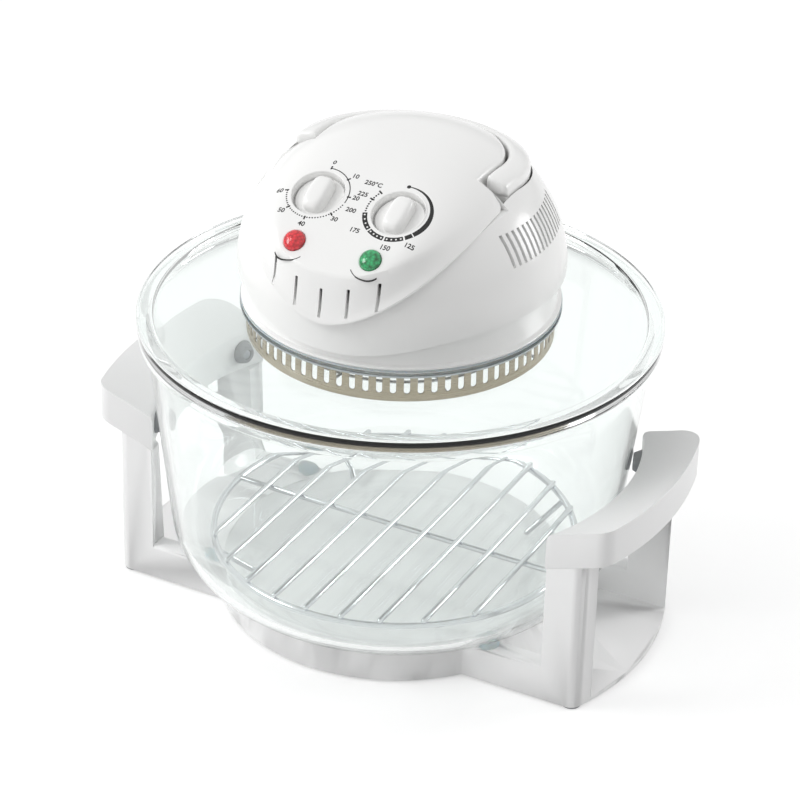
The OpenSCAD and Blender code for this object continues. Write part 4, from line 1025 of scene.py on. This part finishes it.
class OVEN_OT_guard_ring(bpy.types.Operator):
    """Slotted guard ring under the glass lid"""
    bl_idname = "oven.guard_ring"
    bl_label = "Guard ring"

    def execute(self, context):
        m, s = sizes("metal"), sizes("head")
        top_z = s.dome_z - 27.2
        low_z, r, t, plain = top_z - m.guard_h, m.guard_r, m.guard_t, 1.2
        ring = repeated("ring", self.panel(m, low_z, plain), m.guard_slots, material("guard_steel"),
                        turn=360 / m.guard_slots)
        rim = turned("rim", [(r, low_z + plain), (r, low_z + 0.6), (r - 0.6, low_z), (r - 3, low_z), (r - 3, low_z + t),
                             (r - t, low_z + t), (r - t, low_z + plain)], 288)
        flange = turned("flange", [(r, top_z - plain), (r, top_z - 0.4), (r - 0.4, top_z), (r - 8, top_z),
                                   (r - 8, top_z - t), (r - t, top_z - t), (r - t, top_z - plain)], 288)
        finish(joined("slotted_guard", ring, rim, flange), material("guard_steel"), "guard_ring", 40)
        return {"FINISHED"}

    def panel(self, m, low_z, plain):
        """One part of the ring between its plain edges, with its slot, the slot's edge rolled inwards."""
        shift = 0.4                              # the slots stand this much under the middle
        mid = low_z + m.guard_h / 2 - shift
        w, h = m.slot_w / 2, m.slot_h / 2
        slot = arc(0, h - w, w, 0, 180, 10) + arc(0, -h + w, w, 180, 360, 10)
        edge = pi / m.guard_slots * m.guard_r
        up, down = m.guard_h / 2 + shift - plain, -m.guard_h / 2 + shift + plain
        border = []
        for x, y in slot:
            scale = min(edge / max(abs(x), 1e-9), (up if y > 0 else -down) / max(abs(y), 1e-9))
            border.append((x * scale, y * scale))
        corners = ((edge, up), (-edge, up), (-edge, down), (edge, down))
        nearest = [min(range(len(slot)), key=lambda i: dist(border[i], corner)) for corner in corners]
        for k, corner in zip(nearest, corners):
            border[k] = corner
        loops = [(border, 0), ([(x * 1.28, y + copysign(0.5, y)) for x, y in slot], 0),
                 ([(x * 1.1, y * 1.02) for x, y in slot], -0.12), (slot, -0.5),
                 ([(x * 1.02, y) for x, y in slot], -m.guard_t), (border, -m.guard_t)]
        verts = []
        for points, depth in loops:
            for x, y in points:
                a, r = x / m.guard_r, m.guard_r + depth
                verts.append((r * cos(a), r * sin(a), mid + y))
        return solid("panel", verts, ring_faces(len(loops), len(slot)))


class OVEN_OT_knobs(bpy.types.Operator):
    """Both dials"""
    bl_idname = "oven.knobs"
    bl_label = "Dials"

    def execute(self, context):
        s = sizes("head")
        for side, node in ((-1, "timer_knob"), (1, "thermostat_knob")):
            knob = self.knob(s, panel_place(s, side))
            knob.name = node + "_dial"
            finish(knob, material("head_plastic"), node, 40)
        return {"FINISHED"}

    def knob(self, s, place):
        """A disc with a rounded edge, a loaf-shaped bar across it and a shaft behind."""
        top, low, r, edge = -4.5, -s.cup_depth + 0.4, s.knob_r, 0.9
        disc = turned("disc", [(0, low), (r - 0.3, low), (r, low + 0.3)] + arc(r - edge, top - edge, edge, 0, 90, 6)
                      + [(r - 3, top), (0, top)], 96, place)
        half_l, half_w, rise, rows, turns = 12.5, 7, 3.4 - top, 18, 72
        verts = []
        for e in (pi / 2 * i / rows for i in range(rows + 1)):
            rim, z = bend(cos(e), 0.42), top + rise * bend(sin(e), 0.62)
            for a in (2 * pi * k / turns for k in range(turns)):
                verts.append((half_w * rim * bend(cos(a), 0.62), half_l * rim * bend(sin(a), 0.55), z))
        verts = [(x, y, top - 1) for x, y, _ in verts[:turns]] + verts
        bar = solid("bar", verts, ring_faces(rows + 2, turns) + [range(turns)], place)
        shaft = turned("shaft", [(0, -17), (3, -17), (3, low + 0.2), (0, low + 0.2)], 32, place)
        return carve(carve(disc, bar, "UNION"), shaft, "UNION")


class OVEN_OT_lenses(bpy.types.Operator):
    """The red and the green lamp lens"""
    bl_idname = "oven.lenses"
    bl_label = "Lenses"

    def execute(self, context):
        s = sizes("head")
        r, steps = s.lens_r, 14
        dome = [(r * sin(a), 0.4 + 3 * cos(a)) for a in (pi / 2 * i / steps for i in range(steps, -1, -1))]
        profile = [(0, -5.4), (r - 1.6, -5.4), (r - 1.6, -3.6), (r, -3.6)] + dome
        for side, node in ((-1, "power_lens"), (1, "heating_lens")):
            finish(turned(node + "_dome", profile, 72, lens_place(s, side)), material(SLOTS[node]), node, 40)
        return {"FINISHED"}


class OVEN_OT_scales(bpy.types.Operator):
    """Printed scales round the dials and arcs under the lenses"""
    bl_idname = "oven.scales"
    bl_label = "Scales"

    def execute(self, context):
        self.s = s = sizes("head")
        self.parts = {"ink": [], "head_plastic": []}
        # minutes, clockwise from the top
        left, right = -s.dial_pitch / 2, s.dial_pitch / 2
        self.band(left, 18.9, 19.5, 92, -8)
        for a in range(-14, -172, -5):
            self.dot(left, 19.2, a, 0.5)
        for i, a in enumerate((92, 47, 6, -40, -88, -130, -171)):
            self.band(left, 18.4, 21, a + 1.4, a - 1.4)
            self.figure(left, str(i * 10), 24.2, a)
        # degrees, growing heavier with heat
        self.band(right, 19.75, 20.25, 94, -16, 1.25)
        self.dot(right, 20, 97, 1.3)
        for start, end in ((-16, -38), (-40, -53), (-56, -88), (-91, -123), (-126, -164)):
            self.band(right, 18.5, 21.5, start, end)
            for i in range(4) if start < -53 else ():
                self.dot(right, 20, start + (end - start) * (i + 0.5) / 4, 0.55, "head_plastic")
        for a in range(-168, -214, -5):
            self.dot(right, 20, a, 0.6)
        for a in (166, 147):
            self.band(right, 18.6, 21.8, a + 1.4, a - 1.4)
        for text, a, r in (("125", -50, 26.5), ("150", -82, 26), ("175", -135, 27.5), ("200", -167, 29),
                           ("225", 166, 27.5), ("250°C", 147, 28.5)):
            self.figure(right, text, r, a)
        # an arc under each lens, in the lens's own slope
        points = arc(-0.7, -1.5, 10.9, 219, 320, 30) + arc(-0.7, -1.5, 11.4, 219, 320, 30)
        for side in (-1, 1):
            flatter = cos(lens_place(s, side).to_euler().x)
            self.lay(side * (s.dial_pitch / 2 - 1.5), [(u, v * flatter) for u, v in points], self.strip(30),
                     down=s.lens_drop * cos(s.panel_tilt))
        for slot, name in (("ink", "printed_scales"), ("head_plastic", "scale_dots")):
            film = joined(name, *self.parts[slot])
            shade(film, 30)
            film.data.materials.append(material(slot))
            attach(film, NODES["front_cover"]["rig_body"])
        return {"FINISHED"}

    def lay(self, x, points, faces, slot="ink", down=None):
        """Lays flat shapes on the cover as a thin film, on the panel's slope or level from a point down it."""
        s = self.s
        u, v = np.array(points, float).T
        px = x + u
        py = s.panel_y + v * cos(s.panel_tilt) if down is None else s.panel_y - down + v
        pz = cover_level(s, px, py)
        n, lift, sunk = len(points), 0.05 if slot == "ink" else 0.1, -0.3
        verts = [(a, b, c + rise) for rise in (lift, sunk) for a, b, c in zip(px, py, pz)]
        edges = {pair for f in faces for pair in zip(f, f[1:] + f[:1])}
        sides = [(a, b, n + b, n + a) for a, b in sorted(edges) if (b, a) not in edges]
        every = [list(f) for f in faces] + [[n + i for i in reversed(f)] for f in faces] + sides
        self.parts[slot].append(solid(slot, verts, every))

    def strip(self, steps):
        """Faces between two rows of points."""
        n = steps + 1
        return [(i, i + 1, n + i + 1, n + i) for i in range(steps)]

    def band(self, x, inner, outer, start, end, more=0.0):
        """A printed arc; more is how much it grows to each side on its way."""
        steps = 40 if more else max(2, int(abs(start - end) / 3))
        rows = []
        for r, way in ((inner, -1), (outer, 1)):
            for i, (c, d) in enumerate(arc(0, 0, 1, start, end, steps)):
                grown = r + way * more * (i / steps) ** 0.8
                rows.append((grown * c, grown * d))
        self.lay(x, rows, self.strip(steps))

    def dot(self, x, r, angle, size, slot="ink"):
        """A printed dot at a radius and an angle."""
        (cx, cy), _ = arc(0, 0, r, angle, angle + 1, 1)
        self.lay(x, arc(cx, cy, size, 0, 330, 11), [tuple(range(12))], slot)

    def figure(self, x, text, r, angle):
        """A printed figure at a radius and an angle."""
        curve = bpy.data.curves.new("figure", "FONT")
        curve.body, curve.size, curve.align_x, curve.align_y = text, 4.4, "CENTER", "CENTER"
        curve.resolution_u, curve.offset = 3, 0.1
        obj = new_object("figure", curve)
        mesh = plain_mesh(obj)
        bpy.data.objects.remove(obj)
        (cx, cy), _ = arc(0, 0, r, angle, angle + 1, 1)
        self.lay(x, [(v.co.x + cx, v.co.y + cy) for v in mesh.vertices], [tuple(f.vertices) for f in mesh.polygons])


class OVEN_OT_handle(bpy.types.Operator):
    """Carrying handle round the crown"""
    bl_idname = "oven.handle"
    bl_label = "Handle"

    def execute(self, context):
        s = sizes("head")
        inner, half, pivot_z = s.crown_w + CHANNEL_GAP, s.handle_w / 2, s.dome_z + PIVOT_UP
        bar = self.bar(s, inner + half, half, pivot_z)
        r, w, edge = 7, s.handle_w, 1
        profile = ([(0, 0)] + arc(r - edge, edge, edge, -90, 0, 4) + arc(r - edge, w - edge, edge, 0, 90, 4)
                   + [(0, w)])
        for x in (-(inner + w), inner):
            place = Matrix.Translation((x, PIVOT_Y, pivot_z)) @ Matrix.Rotation(pi / 2, 4, "Y")
            carve(bar, turned("boss", profile, 72, place), "UNION")
        finish(bar, material("head_plastic"), "carry_handle", 35)
        return {"FINISHED"}

    def bar(self, s, mid, half, pivot_z):
        """The bar as rings of points along a U round the crown: spot, way outwards, scale and step ahead."""
        front, turns = PIVOT_Y - 7, 48
        arm = [(mid, y) for y in np.linspace(front, s.crown_y, 14)[:-1]]
        path = [(spot, (1, 0)) for spot in arm]
        path += zip(arc(0, s.crown_y, mid, 0, 180, 120), arc(0, 0, 1, 0, 180, 120))
        path += [((-x, y), (-1, 0)) for x, y in arm[::-1]]
        ends = [(0.5, 2.2), (0.78, 2.0), (0.93, 1.3)]
        stations = ([(path[0], *k) for k in ends] + [(p, 1, 0) for p in path]
                    + [(path[-1], *k) for k in ends[::-1]])
        verts = []
        for ((x, y), (nx, ny)), scale, ahead in stations:
            for a in (2 * pi * k / turns for k in range(turns)):
                u, w = half * bend(cos(a), 0.5) * scale, bend(sin(a), 0.5) * scale
                px, py = x + nx * u, y + ny * u - ahead
                top = float(dome_level(s, hypot(px, py))) + s.handle_proud + 2.5 * (1 + u / half)
                low = float(dome_level(s, hypot(x, py))) + s.handle_proud - s.handle_t
                if py < PIVOT_Y - 6:             # kept high in front of the pivot, to clear the channel's floor
                    low = max(low, pivot_z + 3 * min(1, (PIVOT_Y - 6 - py) / 2))
                verts.append((px, py, (top + low) / 2 + (top - low) / 2 * w))
        rings = len(stations)
        return solid("handle_bar", verts, ring_faces(rings, turns) + caps(rings, turns))


class OVEN_OT_fittings(bpy.types.Operator):
    """Finishes of the parts inside and underneath, which stay as the CAD has them"""
    bl_idname = "oven.fittings"
    bl_label = "Fittings"

    def execute(self, context):
        for node, obj in NODES.items():
            if not obj.hide_render:
                obj.data.materials.clear()
                obj.data.materials.append(material(SLOTS[node]))
        return {"FINISHED"}


STEPS = (OVEN_OT_stage, OVEN_OT_glass, OVEN_OT_stand, OVEN_OT_rack, OVEN_OT_housing, OVEN_OT_front_cover,
         OVEN_OT_guard_ring, OVEN_OT_knobs, OVEN_OT_lenses, OVEN_OT_scales, OVEN_OT_handle, OVEN_OT_fittings)


class OVEN_PT_panel(bpy.types.Panel):
    """Lists the sizes, the colours and the steps that build the oven"""
    bl_idname = "OVEN_PT_panel"
    bl_label = "Halogen oven"
    bl_space_type = "VIEW_3D"
    bl_region_type = "UI"
    bl_category = "Oven"

    def draw(self, context):
        for name, group in GROUPS.items():
            box = self.layout.box()
            for prop in group.__annotations__:
                box.prop(getattr(context.scene, name), prop)
        for step in STEPS:
            self.layout.operator(step.bl_idname)


def register():
    """Adds the classes and the settings to Blender."""
    for cls in (*GROUPS.values(), *STEPS, OVEN_PT_panel):
        bpy.utils.register_class(cls)
    for name, group in GROUPS.items():
        setattr(bpy.types.Scene, name, PointerProperty(type=group))


def unregister():
    """Takes them away again."""
    for name in GROUPS:
        delattr(bpy.types.Scene, name)
    for cls in (OVEN_PT_panel, *reversed(STEPS), *GROUPS.values()):
        bpy.utils.unregister_class(cls)


def main():
    """Builds the oven."""
    register()
    for step in STEPS:
        getattr(bpy.ops.oven, step.bl_idname.split(".")[1])()


if __name__ == "__main__":
    main()
